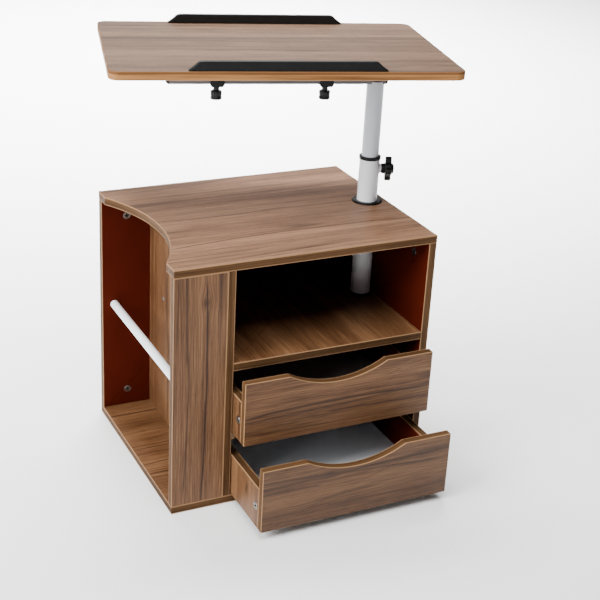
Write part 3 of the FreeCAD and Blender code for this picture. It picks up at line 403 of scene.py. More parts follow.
@dataclass(frozen=True)
class MouldedPlastic(Finish):
    """Moulded plastic: a fine spark-eroded texture, with lighter rubbed patches."""

    tone: Colour
    rubbed: Colour
    rough: float = 0.30

    def paint(self) -> None:
        """Paints the plastic: fine grain, and patches where it is worn."""
        grain, patch = self.spots(1900.0), self.spots(60.0, 4.0, 0.65)
        worn = self.smooth(patch, 0.55, 0.75)
        colour = self.mix(worn * 0.6 + grain * 0.2, self.tone, self.rubbed)
        self.bump(grain, 0.00004, 0.35)
        rough = self.rough + patch * 0.14 + grain * 0.06
        self.set(Base_Color=colour, Roughness=rough, Specular_IOR_Level=0.35)


@dataclass(frozen=True)
class Zinc(Finish):
    """Zinc metal: a die-cast or plated skin with fine spangle, dull spots and stain."""

    tone: Colour
    stain: Colour
    spangle: float = 700.0

    def paint(self) -> None:
        """Paints the metal: cells of spangle under a cloudy stain."""
        place = self.object_place()
        cells = self.node("TexVoronoi", {"Vector": place, "Scale": self.spangle}, "Distance")
        cloud = self.noise(place, 190.0, 3.0, 0.6)
        dull = self.smooth(cloud, 0.45, 0.70)
        colour = self.mix(dull * 0.6 + cells * 0.2, self.tone, self.stain)
        self.bump(cloud + cells * 0.3, 0.00005, 0.4)
        self.set(Base_Color=colour, Metallic=1.0, Roughness=0.24 + dull * 0.2 + cells * 0.1)


@dataclass(frozen=True)
class RawBeech(Finish):
    """Bare planed beech, its grain along Y: pale and straight with short darker rays."""

    tone: Colour
    ray: Colour

    def paint(self) -> None:
        """Paints the wood: fibres, rays and broad bands, all drawn out along Y."""
        fibres = self.spots(420.0, 3.0, 0.6, (1.0, 0.04, 1.0))
        dashes = self.smooth(self.spots(900.0, 1.0, stretch=(1.0, 0.16, 1.0)), 0.60, 0.70)
        broad = self.spots(60.0, stretch=(1.0, 0.1, 1.0))
        colour = self.mix(fibres * 0.4 + broad * 0.3 + dashes * 0.4, self.tone, self.ray)
        self.bump(fibres - dashes, 0.00008, 0.5)
        self.set(Base_Color=colour, Roughness=0.55 + fibres * 0.15)


@dataclass(frozen=True)
class PaintedHardboard(Finish):
    """Painted hardboard: a faint roller texture with specks."""

    tone: Colour
    speck: Colour

    def paint(self) -> None:
        """Paints the board: roller marks, clouds and specks."""
        roller = self.spots(420.0, 3.0, 0.6, (1.0, 0.5, 1.0))
        specks = self.smooth(self.spots(1400.0, 0.0), 0.72, 0.80)
        marks = self.spots(18.0, 3.0) * 0.4 + roller * 0.3 + specks * 0.3
        colour = self.mix(marks, self.tone, self.speck)
        self.bump(roller, 0.00008, 0.4)
        self.set(Base_Color=colour, Roughness=0.44 + roller * 0.16)


@dataclass(frozen=True)
class PaleFloor(Finish):
    """A plain pale studio floor."""

    tone: Colour

    def paint(self) -> None:
        """Paints the floor evenly."""
        rough = 0.85 + self.spots(2.0, 1.0) * 0.1
        self.set(Base_Color=self.tone, Roughness=rough)


KNOTS = (Knot(0.404, -0.1909, 0.015, 0.0085), Knot(-3.0091, 3.1087, 0.018, 0.007, 0.6),
         Knot(5.0709, 4.7311, 0.016, 0.006), Knot(-7.0034, 7.1793, 0.018, 0.004, 0.35))
VEINS = (
    Vein(0.235, -0.1885, 0.245, -0.0055, 0.0015, depth=1.0), Vein(0.380, -0.2262, 0.10, slope=-0.002),
    Vein(0.180, -0.2225, 0.16, -0.003, 0.004, 0.0010, 0.7), Vein(11.225, 12.1087, 0.15, 0.008, depth=0.8),
    Vein(11.313, 12.0045, 0.27, -0.018, 0.0045, 0.0014), Vein(11.140, 11.9450, 0.10, width=0.0011, depth=0.7),
    Vein(11.280, 12.1915, 0.20, 0.0, -0.004, 0.0011, 0.7), Vein(-6.955, 7.2020, 0.20, -0.009, width=0.0016),
    Vein(-6.870, 7.1790, 0.12, 0.0, -0.003, 0.0012, 0.7), Vein(-2.963, 3.1045, 0.20, slope=-0.012, depth=0.7),
    Vein(-3.088, 3.0915, 0.07, 0.0, -0.002, 0.0012, 0.7))
WALNUT = WalnutDecor(
    "walnut_laminate", srgb(125, 91, 63), srgb(95, 66, 43), srgb(67, 42, 24), srgb(37, 21, 11), KNOTS, VEINS)
# Paler copy of the walnut print for the top board: painted light and sheen for its top face, lit from above.
WALNUT_PAINTED_LIGHT = WalnutDecor(
    "walnut_painted_light", srgb(154, 117, 89), srgb(124, 91, 67), srgb(90, 61, 42), srgb(52, 32, 20), veins=VEINS)
# Darker copy of the walnut print for the lower drawer's front: painted shade for the lower, less lit front.
WALNUT_PAINTED_SHADE = WalnutDecor(
    "walnut_painted_shade", srgb(105, 76, 52), srgb(80, 55, 36), srgb(55, 35, 21), srgb(33, 19, 10), KNOTS, VEINS)
# Greyer, paler copy of the walnut print for the laptop board: painted sheen, the glare on its top face.
WALNUT_PAINTED_SHEEN = WalnutDecor(
    "walnut_painted_sheen", srgb(123, 96, 76), srgb(93, 71, 55), srgb(57, 41, 30), srgb(30, 20, 14))
# The third colour of each band is its painted arris highlight.
BAND = EdgeBand("walnut_edge_band", srgb(88, 64, 43), srgb(60, 42, 27), srgb(154, 119, 87))
# The tan band's last number is the width of its strip of painted shade along the top.
TAN_BAND = EdgeBand("tan_edge_band", srgb(152, 108, 68), srgb(92, 62, 38), srgb(170, 126, 86), 0.0045)
PAPER = ReversePaper("reverse_paper", srgb(77, 28, 17), srgb(61, 21, 12))
BEECH = RawBeech("raw_beech", srgb(214, 180, 136), srgb(164, 122, 82))
HARDBOARD = PaintedHardboard("grey_hardboard", srgb(206, 209, 212), srgb(172, 174, 178))
NYLON = MouldedPlastic("white_nylon", srgb(226, 226, 220), srgb(196, 196, 190), 0.4)
SHADOW = MouldedPlastic("recess_shadow", srgb(12, 11, 10), srgb(26, 24, 22), 0.7)
ZINC_PLATE = Zinc("zinc_plated_steel", srgb(206, 208, 212), srgb(150, 150, 156), 1100.0)


@dataclass(frozen=True)
class Dress:
    """What a piece wears: the record's slot, and its finishes in the order of the patches' numbers."""

    slot: str
    finishes: tuple[Finish, ...]


def laminate(decor: WalnutDecor, band: EdgeBand = BAND) -> Dress:
    """Returns a board's dress: decor, edge band and reverse paper."""
    return Dress("walnut_laminate", (decor, band, PAPER))


BARE_BEECH = Dress("beech", (BEECH,))
BLACK = Dress("black_plastic", (MouldedPlastic("black_plastic", srgb(9, 9, 10), srgb(26, 26, 28)),))
ALLOY = Dress("zinc_alloy", (Zinc("zinc_alloy", srgb(150, 147, 142), srgb(96, 92, 88)), SHADOW))
PLATED = Dress("zinc_plated_steel", (ZINC_PLATE, SHADOW))
WHITE, SHADED_INNER_WHITE, GREY = (Dress("white_painted_steel", (coat,)) for coat in (
    PowderCoat("white_powder_coat", srgb(240, 243, 247), srgb(196, 200, 206)),
    # Greyer copy of the white coat for the inner tube: painted shade for its place under the laptop board.
    PowderCoat("inner_tube_coat_painted_shade", srgb(212, 219, 227), srgb(186, 192, 199)),
    # Grey coat for the crossbar: its own darker paint, darkened further as painted shade from the laptop
    # board above.
    PowderCoat("grey_coat_and_painted_shade", srgb(108, 103, 103), srgb(90, 86, 87))))


# ---- meshes


def fan(count: int) -> np.ndarray:
    """Returns even angles round a circle."""
    return np.arange(count) * 2 * np.pi / count


def polar(radius: Any, angle: np.ndarray) -> np.ndarray:
    """Returns points from radii and angles."""
    return np.stack([radius * np.cos(angle), radius * np.sin(angle)], -1)


def box_corners(low: Any, high: Any) -> np.ndarray:
    """Returns a rectangle's corners, anticlockwise from the lowest."""
    return np.array([low, (high[0], low[1]), high, (low[0], high[1])], float)


def rounded(corners: Any, radii: Any, steps: int) -> np.ndarray:
    """Rounds a closed polygon's corners.

    Each corner becomes the arc of its radius that touches both edges there: it starts at the radius over
    the tangent of half the corner's angle from the corner, and turns about the centre on the bisector.

    Args:
        corners: the polygon's corners, one row each.
        radii: one radius, or one for each corner.
        steps: straight pieces in each arc.

    Returns:
        The rounded polygon's points, without repeats.
    """
    at = np.asarray(corners, float)
    radius = np.broadcast_to(np.asarray(radii, float), len(at))[:, None]
    before, after = np.roll(at, 1, 0) - at, np.roll(at, -1, 0) - at
    before /= np.linalg.norm(before, axis=1, keepdims=True)
    after /= np.linalg.norm(after, axis=1, keepdims=True)
    half = np.arccos(np.clip((before * after).sum(1, keepdims=True), -1, 1)) / 2
    bisector = before + after
    bisector /= np.maximum(np.linalg.norm(bisector, axis=1, keepdims=True), 1e-12)
    centre = at + bisector * radius / np.sin(half)
    start = at + before * radius / np.tan(half) - centre
    end = at + after * radius / np.tan(half) - centre
    turn = np.arctan2(start[:, 0] * end[:, 1] - start[:, 1] * end[:, 0], (start * end).sum(1))[:, None]
    cos, sin = np.moveaxis(polar(1, turn * np.linspace(0, 1, steps + 1)), -1, 0)
    x = centre[:, :1] + cos * start[:, :1] - sin * start[:, 1:]
    y = centre[:, 1:] + sin * start[:, :1] + cos * start[:, 1:]
    points = np.stack([x.ravel(), y.ravel()], 1)
    return points[np.linalg.norm(points - np.roll(points, 1, 0), axis=1) > 1e-7]


@dataclass
class Outline:
    """A closed outline in a plane: its points, and normals that inset each edge by an exact distance."""

    points: np.ndarray
    normals: np.ndarray

    @staticmethod
    def polygon(points: np.ndarray) -> Outline:
        """Makes an outline; a point's normal is its edges' unit normals' sum over one plus their product.

        Args:
            points: its points, anticlockwise, or clockwise for a hole.

        Returns:
            The outline.
        """
        edge = np.roll(points, -1, 0) - points
        edge /= np.linalg.norm(edge, axis=1, keepdims=True)
        after = np.stack([edge[:, 1], -edge[:, 0]], 1)
        before = np.roll(after, 1, 0)
        return Outline(points, (before + after) / (1 + (before * after).sum(1, keepdims=True)))

    @staticmethod
    def axis(count: int) -> Outline:
        """Makes an outline that has shrunk to its axis, so that an inset is minus the radius."""
        return Outline(np.zeros((count, 2)), polar(1, fan(count)))


@dataclass
class Place:
    """Where a mesh's own three directions go: an origin and three axes."""

    origin: Any = (0.0, 0.0, 0.0)
    first: Any = (1.0, 0.0, 0.0)
    second: Any = (0.0, 1.0, 0.0)
    third: Any = (0.0, 0.0, 1.0)

    def put(self, points: Any) -> np.ndarray:
        """Returns points moved: origin plus each coordinate times its axis."""
        axes = np.array([self.first, self.second, self.third], float)
        return np.asarray(self.origin, float) + points @ axes

    @staticmethod
    def facing(origin: Any, outward: Any) -> Place:
        """Makes a place whose third axis points outward, with two axes square to it.

        Args:
            origin: its origin.
            outward: direction of the third axis.

        Returns:
            The place.
        """
        third = np.asarray(outward, float) / np.linalg.norm(outward)
        first = np.cross([0.0, 0.0, 1.0] if abs(third[2]) < 0.9 else [0.0, 1.0, 0.0], third)
        first /= np.linalg.norm(first)
        return Place(origin, first, np.cross(third, first), third)


def weld(mesh: bpy.types.Mesh, flat: float = 0.0) -> None:
    """Joins a mesh's doubled points and turns its faces outwards, or melts edges flatter than an angle.

    Args:
        mesh: the mesh to mend.
        flat: that angle in degrees, or 0 for none.
    """
    work = bmesh.new()
    work.from_mesh(mesh)
    bmesh.ops.remove_doubles(work, verts=work.verts, dist=WELD)
    if flat:
        bmesh.ops.dissolve_limit(work, angle_limit=math.radians(flat), verts=work.verts, edges=work.edges)
    else:
        bmesh.ops.recalc_face_normals(work, faces=work.faces)
    work.to_mesh(mesh)
    work.free()


@dataclass(frozen=True)
class Piece:
    """A piece: its name, the body that it rides on, what it wears and the solid that it stands for."""

    name: str
    body: str
    dress: Dress
    node: str
    sharp: float = SHARP

    def make(self, mesh: bpy.types.Mesh) -> bpy.types.Object:
        """Puts a finished mesh into the scene as this piece, with its materials and shading.

        Args:
            mesh: the finished mesh.

        Returns:
            The object.
        """
        mesh.shade_smooth()
        mesh.set_sharp_from_angle(angle=math.radians(self.sharp))
        for finish in self.dress.finishes:
            mesh.materials.append(finish.material)
        made = bpy.data.objects.new(self.name, mesh)
        bpy.context.scene.collection.objects.link(made)
        made.modifiers.new("weighted", "WEIGHTED_NORMAL").keep_sharp = True
        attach(made, self.body)
        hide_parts(self.node)
        LOG.info("%s: %d faces on %s", self.name, len(mesh.polygons), self.body)
        return made


def bevelled_copy(node: str, body: str, dress: Dress, width: float) -> None:
    """Makes a merged copy of a solid's mesh, with its edges rounded by a Bevel modifier.

    Args:
        node: the solid to copy and stand for.
        body: the body that it rides on.
        dress: what it wears.
        width: width of the rounding in metres.
    """
    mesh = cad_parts[node].data.copy()
    mesh.materials.clear()
    weld(mesh, FLAT)
    made = Piece(node + "_shape", body, dress, node, COPY_SHARP).make(mesh)
    bevel = made.modifiers.new("rounding", "BEVEL")
    bevel.width, bevel.segments, bevel.limit_method = width, 2, "ANGLE"
    bevel.angle_limit = math.radians(BEVEL_FROM)
    made.modifiers.move(1, 0)


class Solid:
    """Collects the patches of closed shells and makes them one mesh piece."""

    def __init__(self) -> None:
        """Starts with no patches."""
        self.points: list[np.ndarray] = []
        self.faces: list[list[int]] = []
        self.maps: list[np.ndarray] = []
        self.slots: list[np.ndarray] = []
        self.count = 0

    def add(self, points: np.ndarray, faces: np.ndarray, uv: np.ndarray, slot: int) -> None:
        """Adds a patch.

        Args:
            points: the patch's vertices.
            faces: vertex numbers, one row for each face.
            uv: Grain map of each vertex.
            slot: number of the material.
        """
        self.faces += (faces + self.count).tolist()
        self.points.append(points)
        self.maps.append(uv[faces].reshape(-1, 2))
        self.slots.append(np.full(len(faces), slot))
        self.count += len(points)

    def grid(self, points: np.ndarray, uv: np.ndarray | None = None, slot: int = 0) -> None:
        """Adds a grid of quads.

        Args:
            points: rows by columns of vertices.
            uv: Grain map of each vertex, or nothing where no finish reads it.
            slot: number of the material.
        """
        rows, columns = points.shape[:2]
        index = np.arange(rows * columns).reshape(rows, columns)
        quads = np.stack([index[:-1, :-1], index[:-1, 1:], index[1:, 1:], index[1:, :-1]], -1).reshape(-1, 4)
        maps = np.zeros((rows * columns, 2)) if uv is None else uv.reshape(-1, 2)
        self.add(points.reshape(-1, 3), quads, maps, slot)

    def stack(self, outlines: list[Outline], rings: Any, place: Place,
              slots: tuple[int, int, int] = (0, 0, 0), shift: Pair = (0.0, 0.0),
              closed: bool = False) -> None:
        """Adds a shell: the outlines carried through rings of inset and height, with a cap at each end.

        A ring's point is the outline's point less its normal times the inset, at the ring's height. The
        Grain map is the place on a cap, and on the sides the length round the outline and the length over
        the rings from their middle.

        Args:
            outlines: the outer outline, then any holes.
            rings: inset and height of each ring.
            place: where the shell goes.
            slots: materials of the first cap, the sides and the last cap.
            shift: what is added to the caps' Grain map.
            closed: whether the rings close on themselves, with no caps.
        """
        inset, height = np.asarray(rings, float).T
        if closed:
            inset, height = np.append(inset, inset[0]), np.append(height, height[0])
        over = np.append(0, np.cumsum(np.hypot(np.diff(inset), np.diff(height))))
        bodies = []
        for outline in outlines:
            points = np.vstack([outline.points, outline.points[:1]])
            normals = np.vstack([outline.normals, outline.normals[:1]])
            around = np.append(0, np.cumsum(np.linalg.norm(np.diff(points, axis=0), axis=1)))
            flat = points[None] - normals[None] * inset[:, None, None]
            body = np.concatenate([flat, np.broadcast_to(height[:, None, None], flat.shape[:2] + (1,))], 2)
            uv = np.stack(np.broadcast_arrays(around[None] + shift[0], over[:, None] - over[-1] / 2), -1)
            self.grid(place.put(body), uv, slots[1])
            bodies.append(body)
        for end, slot in ((0, slots[0]), (-1, slots[2])):
            cap = [body[end, :-1] for body in bodies]
            points = np.vstack(cap)
            if closed or np.ptp(points[:, :2], axis=0).max() < 1e-6:
                continue
            faces = np.arange(len(points))[None]
            if len(cap) > 1:
                faces = np.array(tessellate_polygon([loop.tolist() for loop in cap]))
            self.add(place.put(points), faces, points[:, :2] + np.asarray(shift), slot)

    def turned(self, corners: Any, place: Place, steps: int = 4, count: int = 64,
               closed: bool = True) -> None:
        """Adds a shell turned about an axis.

        Args:
            corners: radius, height and rounding at each corner of its profile.
            place: where it goes, with the axis as its third.
            steps: straight pieces in each rounding.
            count: pieces round the axis.
            closed: whether the profile closes on itself, not on the axis.
        """
        corners = np.asarray(corners, float)
        rings = rounded(corners[:, :2], corners[:, 2], steps) * (-1, 1)
        self.stack([Outline.axis(count)], rings, place, closed=closed)

    def become(self, piece: Piece, clip: float | None = None) -> None:
        """Makes the mesh of a piece, with its seams and poles welded.

        Args:
            piece: the piece.
            clip: greatest X that any vertex keeps.
        """
        points = np.vstack(self.points)
        if clip is not None:
            points[:, 0] = np.minimum(points[:, 0], clip)
        mesh = bpy.data.meshes.new(piece.name)
        mesh.from_pydata(points.tolist(), [], self.faces)
        mesh.uv_layers.new(name="Grain").data.foreach_set("uv", np.vstack(self.maps).ravel())
        mesh.polygons.foreach_set("material_index", np.concatenate(self.slots))
        weld(mesh)
        piece.make(mesh)


def edge_rings(low: float, high: float, radius: float, steps: int = 3) -> np.ndarray:
    """Makes the rings of a plate with rounded arrises: a quarter circle at each face.

    Args:
        low: height of its low face.
        high: height of its high face.
        radius: radius of the arrises.
        steps: straight pieces in each.

    Returns:
        Inset and height of each ring.
    """
    turn = np.linspace(0, math.pi / 2, steps + 1)
    inset, rise = radius * (1 - np.sin(turn)), radius * (1 - np.cos(turn))
    return np.vstack([np.stack([inset, low + rise], 1), np.stack([inset[::-1], high - rise[::-1]], 1)])


@dataclass(frozen=True)
class Turning:
    """A piece turned from one profile, whose corners are each a radius, a height and a rounding."""

    piece: Piece
    corners: Corners
    steps: int = 4
    count: int = 96
    closed: bool = True

    def build(self, place: Place, clip: float | None = None) -> None:
        """Builds the piece.

        Args:
            place: where it goes.
            clip: greatest X that any vertex keeps.
        """
        solid = Solid()
        solid.turned(self.corners, place, self.steps, self.count, self.closed)
        solid.become(self.piece, clip)


# ---- boards


class Axis(Enum):
    """A direction of the frame."""

    X = 0
    Y = 1
    Z = 2


class Shown(Enum):
    """The face of a board that shows the decor, as the step through the board's materials."""

    LOW = 1
    HIGH = -1


X, Y, Z = Axis
LOW, HIGH = Shown


@dataclass(frozen=True)
class Cut:
    """A round cut let into one side of a rectangle; the sides count anticlockwise from the lowest, 0."""

    side: int
    length: float
    depth: float
    steps: int
    shift: float = 0.0
    mouth: float = 0.0006
    mouth_steps: int = 3

    def let_in(self, corners: np.ndarray, corner: float) -> np.ndarray:
        """Lets in a circle's arc.

        Its radius is half the chord squared plus the depth squared, over twice the depth.

        Args:
            corners: the rectangle's corners.
            corner: their rounding.

        Returns:
            The outline's points.
        """
        half = self.length / 2
        radius = (half ** 2 + self.depth ** 2) / (2 * self.depth)
        angle = np.linspace(-1, 1, self.steps + 1)[:, None] * math.asin(half / radius)
        corners = np.roll(corners, 2 - self.side, 0)
        run = (corners[3] - corners[2]) / np.linalg.norm(corners[3] - corners[2])
        inward = self.depth - radius * (1 - np.cos(angle))
        middle = (corners[2] + corners[3]) / 2 + run * self.shift
        arc = middle + run * radius * np.sin(angle) + run[::-1] * (-1, 1) * inward
        radii = np.full(len(arc) + 4, corner)
        radii[4:-2] = 0.0
        radii[[3, -2]] = self.mouth
        return rounded(np.vstack([corners[:3], arc, corners[3:]]), radii, self.mouth_steps)


@dataclass
class Board:
    """A laminated board sized by its solid: its shift in the decor, any cut, any hole's place and radius."""

    node: str
    body: str
    grain: Axis
    thick: Axis
    shown: Shown
    shift: Pair
    decor: WalnutDecor = WALNUT
    cut: Cut | None = None
    hole: Point | None = None
    corner: float = 0.0006
    arris: float = 0.0009

    def outlines(self, low: np.ndarray, high: np.ndarray) -> list[Outline]:
        """Works out the outlines in the board's plane, along the grain and across it.

        Args:
            low: the board's low corner.
            high: the board's high corner.

        Returns:
            The outline, and the hole's, which runs the other way.
        """
        corners = box_corners(low, high)
        edge = self.cut.let_in(corners, self.corner) if self.cut else rounded(corners, self.corner, 3)
        holes = [self.hole[:2] + polar(self.hole[2], -fan(64))] if self.hole else []
        return [Outline.polygon(points) for points in (edge, *holes)]

    def build(self) -> None:
        """Builds the board: its outline carried over rounded arrises, with a face at each end."""
        low, high = (np.array(corner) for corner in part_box(self.node))
        along, up = self.grain.value, self.thick.value
        plane, axes = [along, 3 - along - up], np.eye(3)
        rings = edge_rings(low[up], high[up], self.arris)
        place, slots = Place((0, 0, 0), *axes[plane], axes[up]), (0, 1, 2)[::self.shown.value]
        solid = Solid()
        solid.stack(self.outlines(low[plane], high[plane]), rings, place, slots, self.shift)
        solid.become(Piece(self.node + "_laminate", self.body, laminate(self.decor), self.node))


SCOOP = Cut(side=3, length=0.328, depth=0.048, steps=48)
FINGER_CUT = Cut(side=2, length=0.190, depth=0.025, steps=40, shift=0.004, mouth=0.004, mouth_steps=4)
POST_HOLE = (0.213, 0.0, 0.0211)


# ---- fasteners


class Recess(Enum):
    """The driving recess in a fastener's head."""

    CROSS = "cross"
    HEX = "hexagon"


@dataclass(frozen=True)
class Head:
    """A round head set in a board: its sizes in metres."""

    radius: float
    proud: float
    recess: Recess
    size: float
    width: float = 0.0
    groove: float = 0.0
    skirt: float = 0.0015
    floor: float = 0.0001
    lip: float = 0.00025
    soft: float = 0.0005

    def recess_edge(self, angle: np.ndarray) -> np.ndarray:
        """Works out the recess's radius: the farther of two crossed slots, or a hexagon.

        Args:
            angle: the angles to work it out at.

        Returns:
            The radius at each.
        """
        if self.recess is Recess.HEX:
            return self.size / 2 / np.cos(np.mod(angle, np.pi / 3) - np.pi / 6)
        run, rise = np.maximum(abs(polar(1, angle)), 1e-9).T
        level = np.minimum(self.size / 2 / run, self.width / 2 / rise)
        return np.maximum(level, np.minimum(self.width / 2 / run, self.size / 2 / rise))

    def spokes(self) -> np.ndarray:
        """Works out the spokes' angles: even ones, and one at each corner of the recess.

        Returns:
            The angles, rising.
        """
        even = np.linspace(0, 2 * np.pi, 49)
        if self.recess is Recess.HEX:
            return even
        corner = math.atan2(self.width, self.size)
        quarter = np.array([corner, np.pi / 4, np.pi / 2 - corner])
        return np.unique(np.append(even, (quarter + np.arange(4)[:, None] * np.pi / 2).ravel()).round(9))

    def add(self, solid: Solid, face: Any, outward: Any, turn: float) -> None:
        """Adds a head: rings from the recess's floor over its edge and the crowned face, down to the skirt.

        The recess's floor takes material 1, a dark sheet of painted shadow that stands in for a deep recess,
        and the rest takes material 0.

        Args:
            solid: the solid to add to.
            face: the middle of the head, on the board's face.
            outward: direction out of the board.
            turn: how far the recess is turned, in degrees.
        """
        angle, top = self.spokes(), self.proud
        inner = self.recess_edge(angle)
        over, rim, soft = inner + self.lip, self.radius - self.soft, self.soft
        rings = [(0, self.floor), (inner * 0.96, self.floor), (inner, top - 0.2 * soft), (over, top)]
        if self.groove:
            rings += [(np.maximum(over, self.groove - 0.6 * soft), top),
                      (np.maximum(over + HAIR, self.groove), top - 0.6 * soft),
                      (np.maximum(over + 2 * HAIR, self.groove + soft), top)]
        rings += [(np.maximum(over + 3 * HAIR, rim), top), (rim + 0.7 * soft, top - 0.24 * soft),
                  (self.radius, top - 0.8 * soft), (self.radius, -self.skirt), (0, -self.skirt)]
        rings = [np.broadcast_arrays(*ring, angle)[:2] for ring in rings]
        radius, height = np.moveaxis(np.array(rings), 1, 0)
        points = np.concatenate([polar(radius, angle + math.radians(turn)), height[..., None]], -1)
        points = Place.facing(face, outward).put(points)
        solid.grid(points[:2], slot=1)
        solid.grid(points[1:])

    def build(self, spots: list[tuple[Any, Any, float]], piece: Piece) -> None:
        """Builds a piece of equal heads, each with its place, outward direction and turn.

        Args:
            spots: the heads.
            piece: the piece.
        """
        solid = Solid()
        for face, outward, turn in spots:
            self.add(solid, face, outward, turn)
        solid.become(piece)


CAM = Head(radius=0.0075, proud=0.0003, recess=Recess.CROSS, size=0.0092, width=0.0028, groove=0.0060)
BOARD_SCREW = Head(radius=0.0045, proud=0.0004, recess=Recess.HEX, size=0.0038)
WOOD_SCREW = Head(radius=0.0035, proud=0.0005, recess=Recess.CROSS, size=0.0036, width=0.0008)
LEAF_SCREW = replace(WOOD_SCREW, skirt=0.0021)


# ---- sub-assemblies


@dataclass
class Cabinet:
    """The fixed cabinet: boards, magazine rod, fasteners, runners and the post's two bushes."""

    boards: tuple[Board, ...] = (
        # The top board's top face wears the paler copy of the print: painted light.
        Board("top_board", "cabinet", X, Z, HIGH, (11.3, 12.1), WALNUT_PAINTED_LIGHT, SCOOP, POST_HOLE),
        Board("bottom_board", "cabinet", X, Z, HIGH, (14.7, 13.4)),
        Board("back_panel", "cabinet", Z, Y, HIGH, (17.2, 15.0)),
        Board("front_panel", "cabinet", Z, Y, LOW, (0.0, 0.0)),
        Board("partition", "cabinet", Z, X, LOW, (20.5, 16.9)),
        Board("right_side_panel", "cabinet", Z, X, HIGH, (23.1, 18.2)),
        Board("shelf", "cabinet", Y, Z, HIGH, (26.4, 19.6)))
    side_face: float = 0.235
    post: Point = (0.213, 0.0, 0.0)
    rod_radius: float = 0.008
    rod_wall: float = 0.001
    rod_rounding: float = 0.0003
    cam_heights: Pair = (0.421, 0.049)
    wall_cams: tuple[tuple[float, float, Point, float], ...] = (
        (-0.200, 0.185, TO_FRONT, 8.0), (0.185, 0.185, TO_FRONT, 31.0), (0.235, -0.150, TO_LEFT, 17.0),
        (0.235, 0.150, TO_LEFT, 52.0), (-0.1385, -0.150, TO_RIGHT, 64.0), (-0.1385, 0.135, TO_RIGHT, 23.0),
        (-0.227, -0.185, TO_BACK, 40.0))
    shelf_cams: Corners = ((0.201, -0.150, 0.266), (0.201, 0.135, 0.266))
    shelf_screws: Corners = ((-0.1535, -0.123, 0.2735), (-0.1535, 0.109, 0.2735))
    back_screws: Corners = ((-0.146, 0.200, 0.085), (-0.146, 0.200, 0.235), (-0.146, 0.200, 0.385))
    runner_screws: tuple[tuple[float, Point, float], ...] = (
        (-0.1235, TO_RIGHT, 20.0), (0.220, TO_LEFT, 35.0))
    shelf_cam_turn: float = 12.0
    shelf_screw_turn: float = 10.0
    back_screw_turn: float = 25.0
    runner_screw_depths: Point = (-0.142, 0.0015, 0.145)
    runner_screw_height: float = 0.12925
    runner_rounding: float = 0.0008
    flange: Turning = Turning(Piece("post_flange_bush", "cabinet", BLACK, "post_flange"), (
        (0.01908, 0.455, 0), (0.02105, 0.455, 0), (0.02105, 0.470, 0), (0.029, 0.470, 0.0001),
        (0.029, 0.471, 0.0006), (0.026, 0.473, 0.0012), (0.01908, 0.473, 0.0005)))
    socket: Turning = Turning(Piece("post_socket_cup", "cabinet", BLACK, "post_socket"), (
        (0, 0.271, 0), (0.02105, 0.271, 0), (0.02105, 0.281, 0), (0.025, 0.281, 0.0001),
        (0.025, 0.285, 0.0012), (0.01908, 0.285, 0.0006), (0.01908, 0.274, 0), (0, 0.274, 0)), closed=False)

    def magazine_rod(self) -> None:
        """Builds the rod: a thin tube along Y, as a rounded profile turned about its axis."""
        low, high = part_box("magazine_rod")
        wall = box_corners((self.rod_radius - self.rod_wall, low[1]), (self.rod_radius, high[1]))
        corners = tuple((*corner, self.rod_rounding) for corner in wall)
        place = Place(((low[0] + high[0]) / 2, 0, (low[2] + high[2]) / 2), (1, 0, 0), (0, 0, 1), (0, 1, 0))
        Turning(Piece("magazine_rod_tube", "cabinet", WHITE, "magazine_rod"), corners, 2, 48).build(place)

    def fasteners(self) -> None:
        """Builds the cam locks' and screws' heads on the boards' faces."""
        cams = [((x, y, z), way, turn) for z in self.cam_heights for x, y, way, turn in self.wall_cams]
        cams += [(spot, DOWN, self.shelf_cam_turn) for spot in self.shelf_cams]
        CAM.build(cams, Piece("cabinet_cam_locks", "cabinet", ALLOY, "cabinet_cams"))
        screws = [(spot, TO_LEFT, self.shelf_screw_turn) for spot in self.shelf_screws]
        screws += [(spot, TO_BACK, self.back_screw_turn) for spot in self.back_screws]
        BOARD_SCREW.build(screws, Piece("board_screw_heads", "cabinet", PLATED, "board_screws"))
        small = [((x, y, self.runner_screw_height), way, turn) for y in self.runner_screw_depths
                 for x, way, turn in self.runner_screws]
        WOOD_SCREW.build(small, Piece("runner_screw_heads", "cabinet", PLATED, "runner_screws"))

    def build(self) -> None:
        """Builds the whole cabinet."""
        for board in self.boards:
            board.build()
        self.magazine_rod()
        self.fasteners()
        self.flange.build(Place(self.post))
        self.socket.build(Place(self.post), self.side_face)
        bevelled_copy("drawer_runners", "cabinet", BARE_BEECH, self.runner_rounding)


@dataclass
class Drawer:
    """One drawer: front, sides, back and fasteners."""

    name: str
    bottom: float
    side_front: float
    back: float
    turn: float
    front_shift: Pair
    side_shift: Pair
    decor: WalnutDecor = WALNUT
    left: float = -0.1365
    right: float = 0.233
    right_step: Pair = (2.3, 1.1)
    back_step: Pair = (4.1, 2.7)
    cam_setback: float = 0.012
    cam_rise: float = 0.040
    screw_setback: float = 0.0075
    screw_rises: Pair = (0.020, 0.060)

    def build(self) -> None:
        """Builds the drawer."""
        name = self.name
        left, right, back = np.array(self.side_shift) + ((0.0, 0.0), self.right_step, self.back_step)
        for board in (
                Board(name + "_front", name, X, Y, LOW, self.front_shift, self.decor, FINGER_CUT),
                Board(name + "_left_side", name, Z, X, LOW, left),
                Board(name + "_right_side", name, Z, X, HIGH, right),
                Board(name + "_back", name, X, Y, HIGH, back)):
            board.build()
        sides = ((self.left, TO_LEFT), (self.right, TO_RIGHT))
        cam_y, screw_y = self.side_front + self.cam_setback, self.back - self.screw_setback
        cams = [((x, cam_y, self.bottom + self.cam_rise), way, self.turn) for x, way in sides]
        screws = [((x, screw_y, self.bottom + rise), way, self.turn)
                  for x, way in sides for rise in self.screw_rises]
        CAM.build(cams, Piece(name + "_cam_locks", name, ALLOY, name + "_cams"))
        BOARD_SCREW.build(screws, Piece(name + "_screw_heads", name, PLATED, name + "_screws"))


